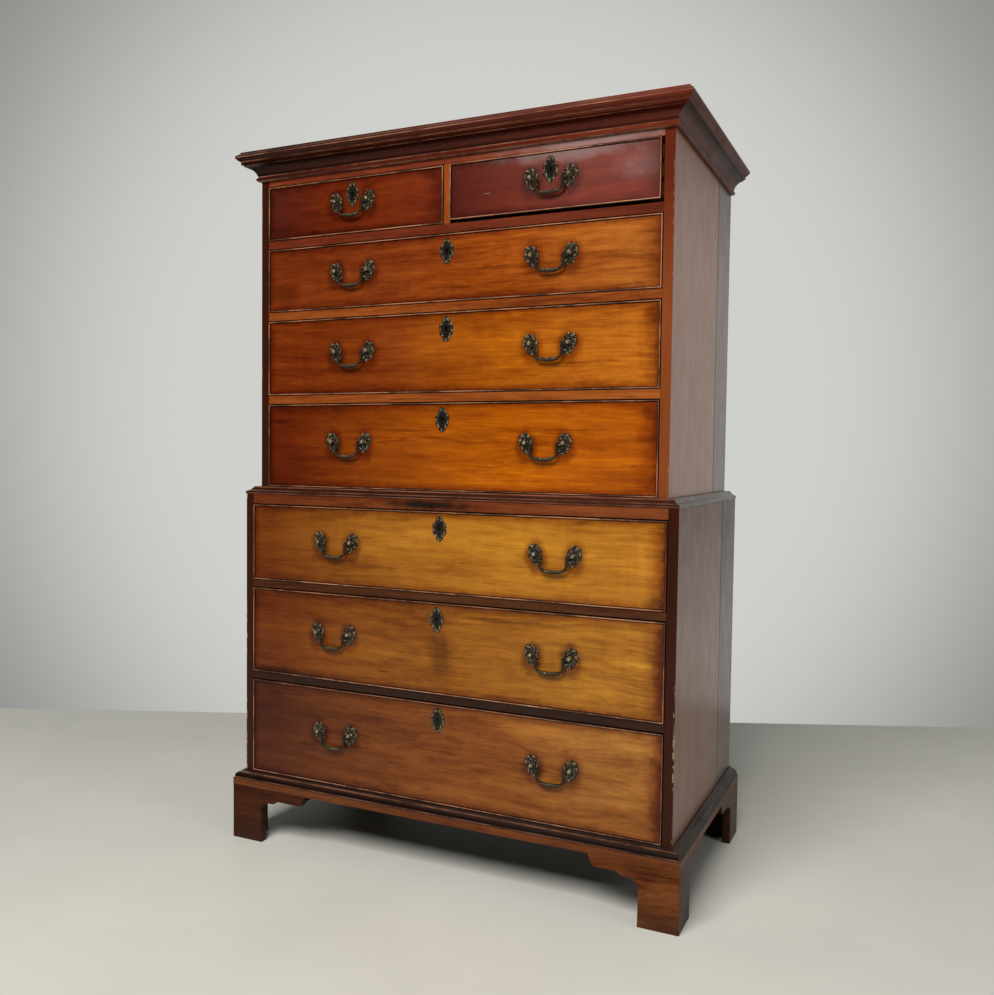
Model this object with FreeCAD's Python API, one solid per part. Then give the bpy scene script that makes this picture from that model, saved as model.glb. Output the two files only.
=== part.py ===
import FreeCAD, Part
import math
import os

from FreeCAD import Vector

# A mahogany chest on chest: a lower chest of three long drawers on bracket feet, and an
# upper chest of two short and three long drawers that stands inside its waist moulding.
# Millimetres; +X to the right, +Y to the back, +Z up; the origin is on the floor, in the
# middle of the space that the whole chest takes up.

# ---- the two carcasses ----
LOWER_WIDTH = 1084.0
LOWER_DEPTH = 575.0
UPPER_STEP = 28.0          # each side of the upper chest inside the side below it
UPPER_SETBACK = 22.6       # upper front behind the lower front; the backs are flush
BASE_OUT = 22.6            # feet and base band stand out from the lower carcass
FOOT_HEIGHT = 133.0

# ---- carcass boards ----
SIDE_T = 21.6
SIDE_LAP = 6.6             # wood left outside the dovetails of the cross boards
PLINTH_T = 15.0
PLINTH_WIDTH = 80.0
LOWER_BOTTOM_T = 20.4
LOWER_TOP_T = 16.0
UPPER_BOTTOM_T = 19.0
UPPER_TOP_T = 18.0
BACK_T = 10.0
BACK_BOARDS = 5
BACK_LAP = 8.0
BACK_REBATE = 11.0
LOWER_REAR_STRIP = 158.0   # each side is glued up from two boards; this is the rear one
UPPER_REAR_STRIP = 138.0

# ---- rails, runners and dust boards ----
LOWER_RAIL_T = 18.0
UPPER_RAIL_T = 20.0
RAIL_DEPTH = 60.0
RAIL_TENON = 12.0
TENON_SHOULDER = 8.0
TOP_RAIL_H = 45.1
FRIEZE_RAIL_H = 22.9
EDGE_RAIL_T = 22.0         # front to back, for the top rail and the frieze rail
DIVIDER_T = 16.2
DIVIDER_SHIFT = 1.4        # the divider stands this far left of the middle
DIVIDER_TENON = 8.0
RUNNER_W = 45.0
RUNNER_HOUSING = 5.0
CENTRE_RUNNER_W = 80.0
GUIDE_H = 20.0
KICKER_T = 20.0
DUST_T = 8.0
DUST_GROOVE = 6.0
STOP_W = 36.0
STOP_D = 8.0
STOP_H = 5.0
STOP_CLEAR = 0.3

# ---- drawers ----
LOWER_THIRD_H = 228.8
LOWER_SECOND_H = 207.0
LOWER_FIRST_H = 183.9
UPPER_THIRD_H = 199.3
UPPER_SECOND_H = 178.6
UPPER_FIRST_H = 149.5
SHORT_H = 127.7
GAP_UNDER = 1.0
GAP_OVER = 2.4
GAP_SIDE = 1.2
RUN_CLEAR = 0.2            # between a drawer side and what it runs on
BEHIND_DRAWER = 12.0
FRONT_T = 20.0
FRONT_LAP = 7.0            # front left before the lapped dovetails, and the bead's rebate
BEAD_T = 3.0
BEAD_PROUD = 3.0
DRAWER_SIDE_T = 10.0
SIDE_DROP = 3.0            # top of a drawer side below the top bead
BACK_DROP = 8.0
BOTTOM_UP = 10.0
BOTTOM_T = 7.0
BOTTOM_GROOVE = 5.0
SLIP_W = 14.0
TAIL_ROOT_RATIO = 0.32     # half width of a dovetail's root, as a share of the spacing
TAIL_SLOPE_RATIO = 6.0     # depth of a dovetail over its flare
TAIL_SPACING = 42.0
SHORT_RIGHT_RAISE = 5.0    # the right short drawer has shrunk, and stands a little proud
SHORT_RIGHT_NARROW = 3.8
SHORT_RIGHT_PROUD = 4.0

# ---- brass ----
UPPER_HANDLE_REACH = 250.0  # middle of a handle from the middle of its drawer
LOWER_HANDLE_REACH = 277.0
UPPER_THIRD_BRASS_SHIFT = 8.0   # handles and escutcheon set this far left of the middle
LOWER_SECOND_BRASS_SHIFT = 5.0
HANDLE_UP = 10.5           # posts above the middle of the drawer
POST_PITCH = 88.0
POST_OUT = 11.0            # axis of the bail in front of the drawer
SHANK_R = 2.5
NUT_R = 6.5
NUT_T = 3.5
KNOB_R = 4.8
PIN_CLEAR = 0.35
BAIL_R = 2.1
GRIP_R = 3.9
COLLAR_R = 4.4
COLLAR_T = 3.0
LEG_PITCH = 62.0
LEG_BEND = 5.0
BAIL_DROP = 36.5           # axis to the middle of the grip
KNEE_R = 12.0
KNEE_TURN = 70.0
ROSETTE_W = 40.0
ROSETTE_H = 54.0
ROSETTE_T = 1.8
ROSETTE_LEAN = 14.0
ROSETTE_LOBES = 9
ROSETTE_TAPER_RATIO = 0.12  # share of its width that it loses towards the bottom
LOBE_VALLEY_RATIO = 0.86   # reach between two lobes, as a share of the reach at their crests
ROSETTE_FALL = 2.0         # middle of the rosette below its post
ESCUTCHEON_W = 38.0
ESCUTCHEON_H = 57.0
ESCUTCHEON_T = 1.6
ESCUTCHEON_LOBES = 8
ESCUTCHEON_DOWN = 38.0     # its middle below the top of the drawer
KEYHOLE_DOWN = 35.0
KEYHOLE_R = 2.3
KEYHOLE_SLOT = 2.4
KEYHOLE_LENGTH = 9.0
LOCK_W = 64.0
LOCK_H = 46.0
LOCK_T = 9.0

# ---- mouldings ----
WAIST_CLEAR = 1.0          # all round the foot of the upper chest
WAIST_TIP = 1.8
WAIST_TOP_BACK = 14.0      # top fillet behind the face of the lower carcass
BAND_H = 16.5
CORNICE_UP = 14.7          # above the opening of the short drawers
CORNICE_H = 65.6
CORNICE_OUT = 45.6

# ---- bracket feet ----
FOOT_BOARD_T = 20.0
FOOT_PAD = 87.0
FOOT_LEAN = 1.0            # the pad's inner edge leans out by this towards the floor
FOOT_SCOOP_R = 24.0
FOOT_ARCH_Z = 100.0
FOOT_FLAT = 123.0
FOOT_CYMA = 136.0
FOOT_ARM_Z = 107.8
FOOT_RUN = 196.0
FOOT_RUN_LONG = 215.0      # the left front bracket is the longer one
FOOT_END = 12.0
FOOT_BLOCK = 40.0
FOOT_BLOCK_UP = 4.0
FOOT_REAR_RUN = 130.0

# ---- levels and planes that follow ----
UPPER_WIDTH = LOWER_WIDTH - 2 * UPPER_STEP
DIVIDER_X = -DIVIDER_SHIFT
FRONT_REACH = max(BASE_OUT, CORNICE_OUT - UPPER_SETBACK)
BACK_Y = (LOWER_DEPTH + FRONT_REACH) / 2
LOWER_FRONT_Y = BACK_Y - LOWER_DEPTH
UPPER_FRONT_Y = LOWER_FRONT_Y + UPPER_SETBACK
LOWER_BOTTOM_Z = FOOT_HEIGHT + PLINTH_T
LOWER_FLOOR_Z = LOWER_BOTTOM_Z + LOWER_BOTTOM_T


def stack(floor, rail, heights):
    """Floor and ceiling of every opening, from the lowest up."""
    openings = []
    for height in heights:
        ceiling = floor + GAP_UNDER + height + GAP_OVER
        openings.append((floor, ceiling))
        floor = ceiling + rail
    return openings


LOWER_OPENINGS = stack(LOWER_FLOOR_Z, LOWER_RAIL_T, (LOWER_THIRD_H, LOWER_SECOND_H, LOWER_FIRST_H))
LOWER_TOP_Z = LOWER_OPENINGS[-1][1] + FRIEZE_RAIL_H
UPPER_FLOOR_Z = LOWER_TOP_Z + UPPER_BOTTOM_T
UPPER_OPENINGS = stack(UPPER_FLOOR_Z, UPPER_RAIL_T,
                       (UPPER_THIRD_H, UPPER_SECOND_H, UPPER_FIRST_H, SHORT_H))
CORNICE_Z = UPPER_OPENINGS[-1][1] + CORNICE_UP
UPPER_TOP_Z = UPPER_OPENINGS[-1][1] + TOP_RAIL_H + UPPER_TOP_T


class Case:
    """One carcass: its outer planes, its openings and the boards that close it."""

    def __init__(self, width, front, bottom, floor, top, openings, top_t, rear_strip):
        self.half = width / 2
        self.inner = width / 2 - SIDE_T
        self.front = front
        self.bottom = bottom
        self.floor = floor
        self.top = top
        self.openings = openings
        self.top_t = top_t
        self.rear_strip = rear_strip
        self.back = BACK_Y - BACK_T     # inner face of the back boards
        self.rails = [(a[1], b[0]) for a, b in zip(openings, openings[1:])]


LOWER = Case(LOWER_WIDTH, LOWER_FRONT_Y, LOWER_BOTTOM_Z, LOWER_FLOOR_Z, LOWER_TOP_Z,
             LOWER_OPENINGS, LOWER_TOP_T, LOWER_REAR_STRIP)
UPPER = Case(UPPER_WIDTH, UPPER_FRONT_Y, LOWER_TOP_Z, UPPER_FLOOR_Z, UPPER_TOP_Z,
             UPPER_OPENINGS, UPPER_TOP_T, UPPER_REAR_STRIP)


# ---- shapes that everything is made from ----

PLACES = {
    "x": (lambda across, up, along: Vector(along, across, up), Vector(1, 0, 0)),
    "y": (lambda across, up, along: Vector(across, along, up), Vector(0, 1, 0)),
    "z": (lambda across, up, along: Vector(across, up, along), Vector(0, 0, 1)),
}


def box(x0, x1, y0, y1, z0, z1):
    return Part.makeBox(x1 - x0, y1 - y0, z1 - z0, Vector(x0, y0, z0))


def strip(outer, inner, y0, y1, z0, z1):
    """A box between two values of X in either order."""
    return box(min(outer, inner), max(outer, inner), y0, y1, z0, z1)


def extrude(steps, axis, start, end):
    """Solid of a closed outline; a step is a point, or (through, to) for an arc."""
    place, unit = PLACES[axis]
    edges = []
    here = steps[0]
    for step in steps[1:] + [steps[0]]:
        if isinstance(step[0], tuple):
            through, there = step
            arc = Part.Arc(place(*here, start), place(*through, start), place(*there, start))
            edges.append(arc.toShape())
            here = there
        elif step != here:
            edges.append(Part.makeLine(place(*here, start), place(*step, start)))
            here = step
    return Part.Face(Part.Wire(edges)).extrude(unit * (end - start))


def tails(root, tip, start, end):
    """Corners of the dovetails on a board's edge that runs from start to end."""
    count = max(2, round(abs(end - start) / TAIL_SPACING))
    spacing = (end - start) / count
    flare = math.copysign(abs(tip - root) / TAIL_SLOPE_RATIO, spacing)
    points = []
    for i in range(count):
        middle = start + spacing * (i + 0.5)
        narrow = spacing * TAIL_ROOT_RATIO
        wide = narrow + flare
        points += [(root, middle - narrow), (tip, middle - wide)]
        points += [(tip, middle + wide), (root, middle + narrow)]
    return points


def cut_by(shape, tools):
    for tool in tools:
        shape = shape.cut(tool)
    return shape


def mirrored(shape):
    return shape.mirror(Vector(0, 0, 0), Vector(1, 0, 0))


def save(name, solids):
    Part.makeCompound(solids).exportStep(os.path.join("parts", name + ".step"))


# ---- carcasses ----

def cross_board(case, front, z0, z1):
    """A top or bottom board, lap-dovetailed into both sides."""
    root = case.inner
    tip = case.half - SIDE_LAP
    right = tails(root, tip, front, case.back)
    left = tails(-root, -tip, case.back, front)
    outline = [(root, front)] + right + [(root, case.back), (-root, case.back)] + left
    return extrude(outline + [(-root, front)], "z", z0, z1)


def rail(case, z0, z1, depth):
    """A rail across the front, with a stub tenon at each end."""
    half = case.inner
    tenon = half + RAIL_TENON
    near = case.front + min(TENON_SHOULDER, depth / 4)
    far = case.front + depth - min(TENON_SHOULDER, depth / 4)
    outline = [(-half, case.front), (half, case.front), (half, near), (tenon, near),
               (tenon, far), (half, far), (half, case.front + depth),
               (-half, case.front + depth), (-half, far), (-tenon, far),
               (-tenon, near), (-half, near)]
    return extrude(outline, "z", z0, z1)


def back_boards(case):
    """Upright boards with half-lapped edges, let into the sides' rebates."""
    half = case.inner + BACK_REBATE
    width = 2 * half / BACK_BOARDS
    middle = (case.back + BACK_Y) / 2
    boards = []
    for i in range(BACK_BOARDS):
        left = -half + i * width
        right = left + width
        under = left if i == 0 else left + BACK_LAP
        over = right if i == BACK_BOARDS - 1 else right + BACK_LAP
        outline = [(under, case.back), (over, case.back), (over, middle), (right, middle)]
        if over == right:
            outline.pop()
        outline += [(right, BACK_Y), (left, BACK_Y), (left, middle), (under, middle)]
        if under == left:
            outline.pop()
        boards.append(extrude(outline, "z", case.bottom, case.top))
    return boards


def side(case, sign, sockets):
    """Two boards glued edge to edge, rebated for the back and cut for every joint."""
    outer = sign * case.half
    inner = sign * case.inner
    rebate = strip(inner, inner + sign * BACK_REBATE, case.back, BACK_Y, case.bottom, case.top)
    joint = BACK_Y - case.rear_strip
    boards = [strip(outer, inner, case.front, joint, case.bottom, case.top),
              strip(outer, inner, joint, BACK_Y, case.bottom, case.top).cut(rebate)]
    return [cut_by(board, sockets) for board in boards]


def runner(case, sign, z0, z1):
    """Carries the edge of a drawer; housed in the side, and grooved for a dust board."""
    outer = sign * (case.inner + RUNNER_HOUSING)
    inner = sign * (case.inner - RUNNER_W)
    return strip(outer, inner, case.front + RAIL_DEPTH, case.back, z0, z1)


def dust_board(case, left, right, z0, z1):
    middle = (z0 + z1) / 2
    front = case.front + RAIL_DEPTH - DUST_GROOVE
    return box(left, right, front, case.back, middle - DUST_T / 2, middle + DUST_T / 2)


def stops(case, left, right, floor):
    """Two blocks behind a drawer's front that stop it flush."""
    front = case.front + FRONT_T + STOP_CLEAR
    quarter = (right - left) / 4
    blocks = []
    for middle in (left + quarter, right - quarter):
        block = box(middle - STOP_W / 2, middle + STOP_W / 2, front, front + STOP_D,
                    floor, floor + STOP_H)
        blocks.append(block)
    return blocks


def kicker(case, left, right, back_of_rail):
    """Keeps a top drawer from tipping as it is drawn out."""
    ceiling = case.openings[-1][1]
    top = min(ceiling + KICKER_T, case.top - case.top_t)
    return box(left, right, back_of_rail, case.back, ceiling, top)


def edge_kickers(case):
    outer = case.inner + RUNNER_HOUSING
    inner = case.inner - RUNNER_W
    behind = case.front + EDGE_RAIL_T
    right = kicker(case, inner, outer, behind)
    return [right, mirrored(right)]


def centre_divider():
    """Upright between the short drawers, tenoned into the rails above and below."""
    rail_top = UPPER_OPENINGS[-1][0]
    rail_under = UPPER_OPENINGS[-1][1]
    front = UPPER.front
    near = front + TENON_SHOULDER / 2
    far = front + EDGE_RAIL_T - TENON_SHOULDER / 2
    outline = [(front, rail_top), (near, rail_top), (near, rail_top - DIVIDER_TENON),
               (far, rail_top - DIVIDER_TENON), (far, rail_top),
               (front + RAIL_DEPTH, rail_top), (front + RAIL_DEPTH, rail_under),
               (far, rail_under), (far, rail_under + DIVIDER_TENON),
               (near, rail_under + DIVIDER_TENON), (near, rail_under), (front, rail_under)]
    return extrude(outline, "x", DIVIDER_X - DIVIDER_T / 2, DIVIDER_X + DIVIDER_T / 2)


def level(case, z0, z1, centre):
    """Runners and dust boards behind one rail; centre adds the middle runner and guide."""
    runners = [runner(case, sign, z0, z1) for sign in (-1, 1)]
    edge = case.inner - RUNNER_W + DUST_GROOVE
    spans = [(-edge, edge)]
    pieces = []
    if centre:
        half = CENTRE_RUNNER_W / 2
        runners.append(box(DIVIDER_X - half, DIVIDER_X + half, case.front + RAIL_DEPTH,
                           case.back, z0, z1))
        spans = [(-edge, DIVIDER_X - half + DUST_GROOVE),
                 (DIVIDER_X + half - DUST_GROOVE, edge)]
        guide = box(DIVIDER_X - DIVIDER_T / 2, DIVIDER_X + DIVIDER_T / 2,
                    case.front + RAIL_DEPTH, case.back, z1, z1 + GUIDE_H)
        pieces.append(guide)
    dust = [dust_board(case, left, right, z0, z1) for left, right in spans]
    pieces += [cut_by(piece, dust) for piece in runners]
    return pieces, dust


def build_case(name, case, cross, edge_rail, drawers, centre):
    """Writes the sides, back, rails and inner woodwork of one carcass."""
    rails = [rail(case, z0, z1, RAIL_DEPTH) for z0, z1 in case.rails]
    rails.append(edge_rail)
    inner = edge_kickers(case)
    grooves = []
    for z0, z1 in case.rails:
        pieces, dust = level(case, z0, z1, centre and z0 == case.rails[-1][0])
        inner += pieces
        grooves += dust
    sockets = list(cross) + rails + inner
    for sign, end in ((-1, "left"), (1, "right")):
        save(f"{name}_side_{end}", side(case, sign, sockets))
    if centre:
        divider = centre_divider()
        rails = [piece.cut(divider) for piece in rails] + [divider]
        middle = CENTRE_RUNNER_W / 2
        inner.append(kicker(case, DIVIDER_X - middle, DIVIDER_X + middle,
                            case.front + RAIL_DEPTH))
    save(f"{name}_drawer_rails", [cut_by(piece, grooves) for piece in rails])
    for drawer in drawers:
        inner += stops(case, drawer.left, drawer.right, drawer.floor)
    save(f"{name}_runners_and_dust_boards", inner + grooves)
    save(f"{name}_back_boards", back_boards(case))


def lower_case(drawers):
    bottom = cross_board(LOWER, LOWER.front, LOWER.bottom, LOWER.floor)
    top = cross_board(LOWER, LOWER.front + EDGE_RAIL_T, LOWER.top - LOWER_TOP_T, LOWER.top)
    frieze = rail(LOWER, LOWER.openings[-1][1], LOWER.top, EDGE_RAIL_T)
    save("lower_bottom_board", [bottom])
    save("lower_top_board", [top])
    build_case("lower", LOWER, (bottom, top), frieze, drawers, False)


def upper_case(drawers):
    bottom = cross_board(UPPER, UPPER.front, UPPER.bottom, UPPER.floor)
    top = cross_board(UPPER, UPPER.front, UPPER.top - UPPER_TOP_T, UPPER.top)
    top_rail = rail(UPPER, UPPER.openings[-1][1], UPPER.top - UPPER_TOP_T, EDGE_RAIL_T)
    save("upper_bottom_board", [bottom])
    save("upper_top_board", [top])
    build_case("upper", UPPER, (bottom, top), top_rail, drawers, True)


# ---- mouldings, mitred at the two front corners ----

def mitred(case, front_profile, side_profile):
    """Front length and two returns of a moulding; a profile is in (out from face, Z)."""
    reach = max(LOWER_WIDTH, UPPER_WIDTH)
    half, front = case.half, case.front
    wedge = [(-half - reach, front - reach), (half + reach, front - reach),
             (half - case.half / 2, front + case.half / 2),
             (-half + case.half / 2, front + case.half / 2)]
    ahead = extrude(wedge, "z", 0, UPPER_TOP_Z + CORNICE_H)
    across = [turn(step, lambda out: front - out) for step in front_profile]
    length = extrude(across, "x", -half - reach / 4, half + reach / 4).common(ahead)
    along = [turn(step, lambda out: half + out) for step in side_profile]
    right = extrude(along, "y", front - reach / 4, BACK_Y).cut(ahead)
    return [length, right, mirrored(right)]


def turn(step, place):
    """A profile step with its first value moved to where the moulding stands."""
    if isinstance(step[0], tuple):
        return tuple((place(out), z) for out, z in step)
    return (place(step[0]), step[1])


def raised(profile, z, scale_out, scale_up):
    """A profile drawn at unit width and height, brought to its level and size."""
    placed = []
    for step in profile:
        if isinstance(step[0], tuple):
            placed.append(tuple((out * scale_out, z + up * scale_up) for out, up in step))
        else:
            placed.append((step[0] * scale_out, z + step[1] * scale_up))
    return placed


def cornice():
    """Bead, cove, fillet, ovolo and a stepped top, from below upwards."""
    bead_end = (0.13, 0.146)
    cove_end = (0.61, 0.497)
    nose = (1.0, 0.785)
    profile = [(0.0, 0.0), (0.1, 0.0), ((0.215, 0.073), bead_end), (0.15, 0.192),
               ((0.315, 0.39), cove_end), (0.66, 0.497), (0.66, 0.543), (0.77, 0.549),
               (0.77, 0.65), (0.8, 0.655), ((0.91, 0.71), nose), (1.0, 0.812),
               ((0.965, 0.865), (0.88, 0.893)), (0.87, 0.925), (0.8, 0.937), (0.79, 1.0),
               (0.0, 1.0)]
    placed = raised(profile, CORNICE_Z, CORNICE_OUT, CORNICE_H)
    save("cornice", mitred(UPPER, placed, placed))


def waist_moulding():
    """Stands on the lower chest as a rim, and steps up to the foot of the upper one."""
    height = UPPER_BOTTOM_T
    foot = LOWER_TOP_Z
    back = WAIST_TOP_BACK

    def profile(inner):
        return [(inner, foot), (0.0, foot), (WAIST_TIP / 2, foot + height * 0.03),
                ((WAIST_TIP, foot + height * 0.2), (-back * 0.1, foot + height * 0.43)),
                (-back * 0.22, foot + height * 0.43), (-back * 0.22, foot + height * 0.52),
                ((-back * 0.55, foot + height * 0.6), (-back * 0.72, foot + height * 0.82)),
                (-back * 0.86, foot + height * 0.82), (-back, foot + height), (inner, foot + height)]

    front = profile(WAIST_CLEAR - UPPER_SETBACK)
    returns = profile(WAIST_CLEAR - UPPER_STEP)
    save("waist_moulding", mitred(LOWER, front, returns))


def base_moulding():
    """A flat band over the feet, then an ovolo, a fillet and a small cove."""
    foot = FOOT_HEIGHT
    band = foot + BAND_H
    rise = LOWER_FLOOR_Z - band
    out = BASE_OUT
    profile = [(0.0, foot), (out, foot), (out, band), (out * 0.885, band + rise * 0.06),
               (out * 0.885, band + rise * 0.13),
               ((out * 0.79, band + rise * 0.5), (out * 0.5, band + rise * 0.72)),
               (out * 0.46, band + rise * 0.72), (out * 0.45, band + rise * 0.79),
               ((out * 0.27, band + rise * 0.86), (out * 0.16, band + rise)),
               (0.0, band + rise)]
    save("base_moulding", mitred(LOWER, profile, profile))


def plinth_frame():
    """Four strips under the lower carcass that the feet's blocks are glued to."""
    half = LOWER.half
    front = LOWER.front
    z0, z1 = FOOT_HEIGHT, LOWER_BOTTOM_Z
    width = PLINTH_WIDTH
    save("plinth_frame", [
        box(-half, half, front, front + width, z0, z1),
        box(-half, half, BACK_Y - width, BACK_Y, z0, z1),
        box(-half, -half + width, front + width, BACK_Y - width, z0, z1),
        box(half - width, half, front + width, BACK_Y - width, z0, z1)])


# ---- feet ----

def bracket_outline(run):
    """Bracket as (distance from the outer corner, Z): a scoop, two steps and an arm."""
    scoop = FOOT_SCOOP_R
    spring_x = FOOT_PAD - FOOT_LEAN
    across = spring_x + scoop
    spring = FOOT_ARCH_Z - scoop
    lean = scoop * math.sqrt(0.5)
    arm = run - FOOT_END
    return [(0.0, 0.0), (FOOT_PAD, 0.0), (spring_x, spring),
            ((across - lean, spring + lean), (across, FOOT_ARCH_Z)), (FOOT_FLAT, FOOT_ARCH_Z),
            (((FOOT_FLAT + FOOT_CYMA) / 2, FOOT_ARCH_Z * 0.4 + FOOT_ARM_Z * 0.6),
             (FOOT_CYMA, FOOT_ARM_Z)), (arm, FOOT_ARM_Z),
            ((arm + FOOT_END * 0.55, FOOT_ARM_Z * 0.54 + FOOT_HEIGHT * 0.46), (run, FOOT_HEIGHT)),
            (0.0, FOOT_HEIGHT)]


def front_foot(name, sign, run):
    """Two brackets mitred at the corner, with a corner block and two arm blocks."""
    x = sign * (LOWER.half + BASE_OUT)
    y = LOWER.front - BASE_OUT
    t = FOOT_BOARD_T
    across = [turn(step, lambda d: x - sign * d) for step in bracket_outline(run)]
    along = [turn(step, lambda d: y + d) for step in bracket_outline(FOOT_RUN)]
    plan = [(x, y), (x - sign * run, y), (x - sign * run, y + t), (x - sign * t, y + t)]
    facing = extrude(across, "y", y, y + t).common(extrude(plan, "z", 0, FOOT_HEIGHT))
    plan = [(x, y), (x, y + FOOT_RUN), (x - sign * t, y + FOOT_RUN), (x - sign * t, y + t)]
    flank = extrude(along, "x", x, x - sign * t).common(extrude(plan, "z", 0, FOOT_HEIGHT))
    inside = x - sign * t
    block = strip(inside, inside - sign * FOOT_BLOCK, y + t, y + t + FOOT_BLOCK,
                  FOOT_BLOCK_UP, FOOT_HEIGHT)
    arm_z = FOOT_ARM_Z + FOOT_BLOCK_UP
    arm = FOOT_BLOCK * 0.6
    arms = [strip(inside - sign * FOOT_BLOCK, x - sign * (run - FOOT_END), y + t, y + t + arm,
                  arm_z, FOOT_HEIGHT),
            strip(inside, inside - sign * arm, y + t + FOOT_BLOCK, y + FOOT_RUN - FOOT_END,
                  arm_z, FOOT_HEIGHT)]
    save(name, [facing, flank, block] + arms)


def back_foot(name, sign):
    """A shaped bracket at the side, a plain one across the back, and their blocks."""
    x = sign * (LOWER.half + BASE_OUT)
    t = FOOT_BOARD_T
    along = [turn(step, lambda d: BACK_Y - d) for step in bracket_outline(FOOT_RUN)]
    flank = extrude(along, "x", x, x - sign * t)
    inside = x - sign * t
    far = x - sign * FOOT_REAR_RUN
    slope = [(inside, 0.0), (x - sign * FOOT_PAD, 0.0), (far, FOOT_ARM_Z),
             (far, FOOT_HEIGHT), (inside, FOOT_HEIGHT)]
    rear = extrude(slope, "y", BACK_Y - t, BACK_Y)
    block = strip(inside, inside - sign * FOOT_BLOCK, BACK_Y - t - FOOT_BLOCK, BACK_Y - t,
                  FOOT_BLOCK_UP, FOOT_HEIGHT)
    arm = strip(inside, inside - sign * FOOT_BLOCK * 0.6, BACK_Y - FOOT_RUN + FOOT_END,
                BACK_Y - t - FOOT_BLOCK, FOOT_ARM_Z + FOOT_BLOCK_UP, FOOT_HEIGHT)
    save(name, [flank, rear, block, arm])


# ---- drawers ----

class Drawer:
    """One drawer: the rectangle round its beads, its front plane and where its brass is."""

    def __init__(self, name, case, left, right, opening, reach=None, brass_shift=0.0,
                 raise_by=0.0, proud=0.0):
        self.name = name
        self.left = left
        self.right = right
        self.floor = opening[0]
        self.bottom = opening[0] + GAP_UNDER + raise_by
        self.top = opening[1] - GAP_OVER
        self.face = case.front - proud
        self.inside = self.face + FRONT_T
        self.end = case.back - BEHIND_DRAWER - proud
        self.middle = (left + right) / 2 - brass_shift
        self.handles = {"": self.middle}
        if reach:
            self.handles = {"_left": self.middle - reach, "_right": self.middle + reach}
        self.post_z = (opening[0] + GAP_UNDER + self.top) / 2 + HANDLE_UP
        self.side_foot = opening[0] + RUN_CLEAR
        self.side_top = self.top - BEAD_T - SIDE_DROP
        self.board_z = self.bottom + BOTTOM_UP


def list_drawers():
    low = LOWER.inner - GAP_SIDE
    high = UPPER.inner - GAP_SIDE
    names = ("third", "second", "first")
    shifts = (0.0, LOWER_SECOND_BRASS_SHIFT, 0.0)
    lower = [Drawer(f"lower_{name}", LOWER, -low, low, opening, LOWER_HANDLE_REACH, shift)
             for name, opening, shift in zip(names, LOWER.openings, shifts)]
    shifts = (UPPER_THIRD_BRASS_SHIFT, 0.0, 0.0)
    upper = [Drawer(f"upper_{name}", UPPER, -high, high, opening, UPPER_HANDLE_REACH, shift)
             for name, opening, shift in zip(names, UPPER.openings, shifts)]
    gap = DIVIDER_T / 2 + GAP_SIDE
    short = UPPER.openings[-1]
    upper.append(Drawer("short_left", UPPER, -high, DIVIDER_X - gap, short))
    upper.append(Drawer("short_right", UPPER, DIVIDER_X + gap, high - SHORT_RIGHT_NARROW, short,
                        raise_by=SHORT_RIGHT_RAISE, proud=SHORT_RIGHT_PROUD))
    return lower, upper


def beads(d):
    """Four round-nosed beads, mitred round the edges of the front."""
    nose = d.face - BEAD_PROUD
    shoulder = nose + BEAD_T / 2
    back = d.face + FRONT_LAP
    t = BEAD_T

    def section(low, high):
        middle = (low + high) / 2
        return [(back, low), (shoulder, low), ((nose, middle), (shoulder, high)), (back, high)]

    def swap(steps):
        return [tuple(p[::-1] for p in s) if isinstance(s[0], tuple) else s[::-1] for s in steps]

    def wedge(points):
        return extrude(points, "y", nose - t, back)

    left, right, low, high = d.left, d.right, d.bottom, d.top
    top = extrude(section(high - t, high), "x", left, right).common(
        wedge([(left, high), (right, high), (right - t, high - t), (left + t, high - t)]))
    top = top.fuse(box(left, right, back, d.inside, high - t, high)).removeSplitter()
    foot = extrude(section(low, low + t), "x", left, right).common(
        wedge([(left, low), (right, low), (right - t, low + t), (left + t, low + t)]))
    ends = []
    for outer, inner in ((left, left + t), (right, right - t)):
        upright = extrude(swap(section(min(outer, inner), max(outer, inner))), "z", low, high)
        ends.append(upright.common(
            wedge([(outer, low), (outer, high), (inner, high - t), (inner, low + t)])))
    return [top, foot] + ends


def drawer_side(d, outer, inner):
    """Side board with lapped tails at the front and through tails at the back."""
    roots = (d.inside, d.end - DRAWER_SIDE_T)
    tips = (d.face + FRONT_LAP, d.end)
    above = d.board_z + BOTTOM_T
    outline = [(roots[0], d.side_foot)]
    outline += tails(roots[0], tips[0], d.bottom + BEAD_T, d.side_top)
    outline += [(roots[0], d.side_top), (roots[1], d.side_top)]
    outline += tails(roots[1], tips[1], d.side_top - BACK_DROP, above)
    outline.append((roots[1], d.side_foot))
    return extrude(outline, "x", min(outer, inner), max(outer, inner))


def keyhole(x, z, y0, y1):
    """Round hole with a slot below it."""
    hole = Part.makeCylinder(KEYHOLE_R, y1 - y0, Vector(x, y0, z), Vector(0, 1, 0))
    slot = box(x - KEYHOLE_SLOT / 2, x + KEYHOLE_SLOT / 2, y0, y1, z - KEYHOLE_LENGTH, z)
    return hole.fuse(slot)


def lock(d):
    """Lock let into the back of the front; its bolt is inside the closed case."""
    top = d.top - BEAD_T
    return box(d.middle - LOCK_W / 2, d.middle + LOCK_W / 2, d.inside - LOCK_T, d.inside,
               top - LOCK_H, top)


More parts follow.
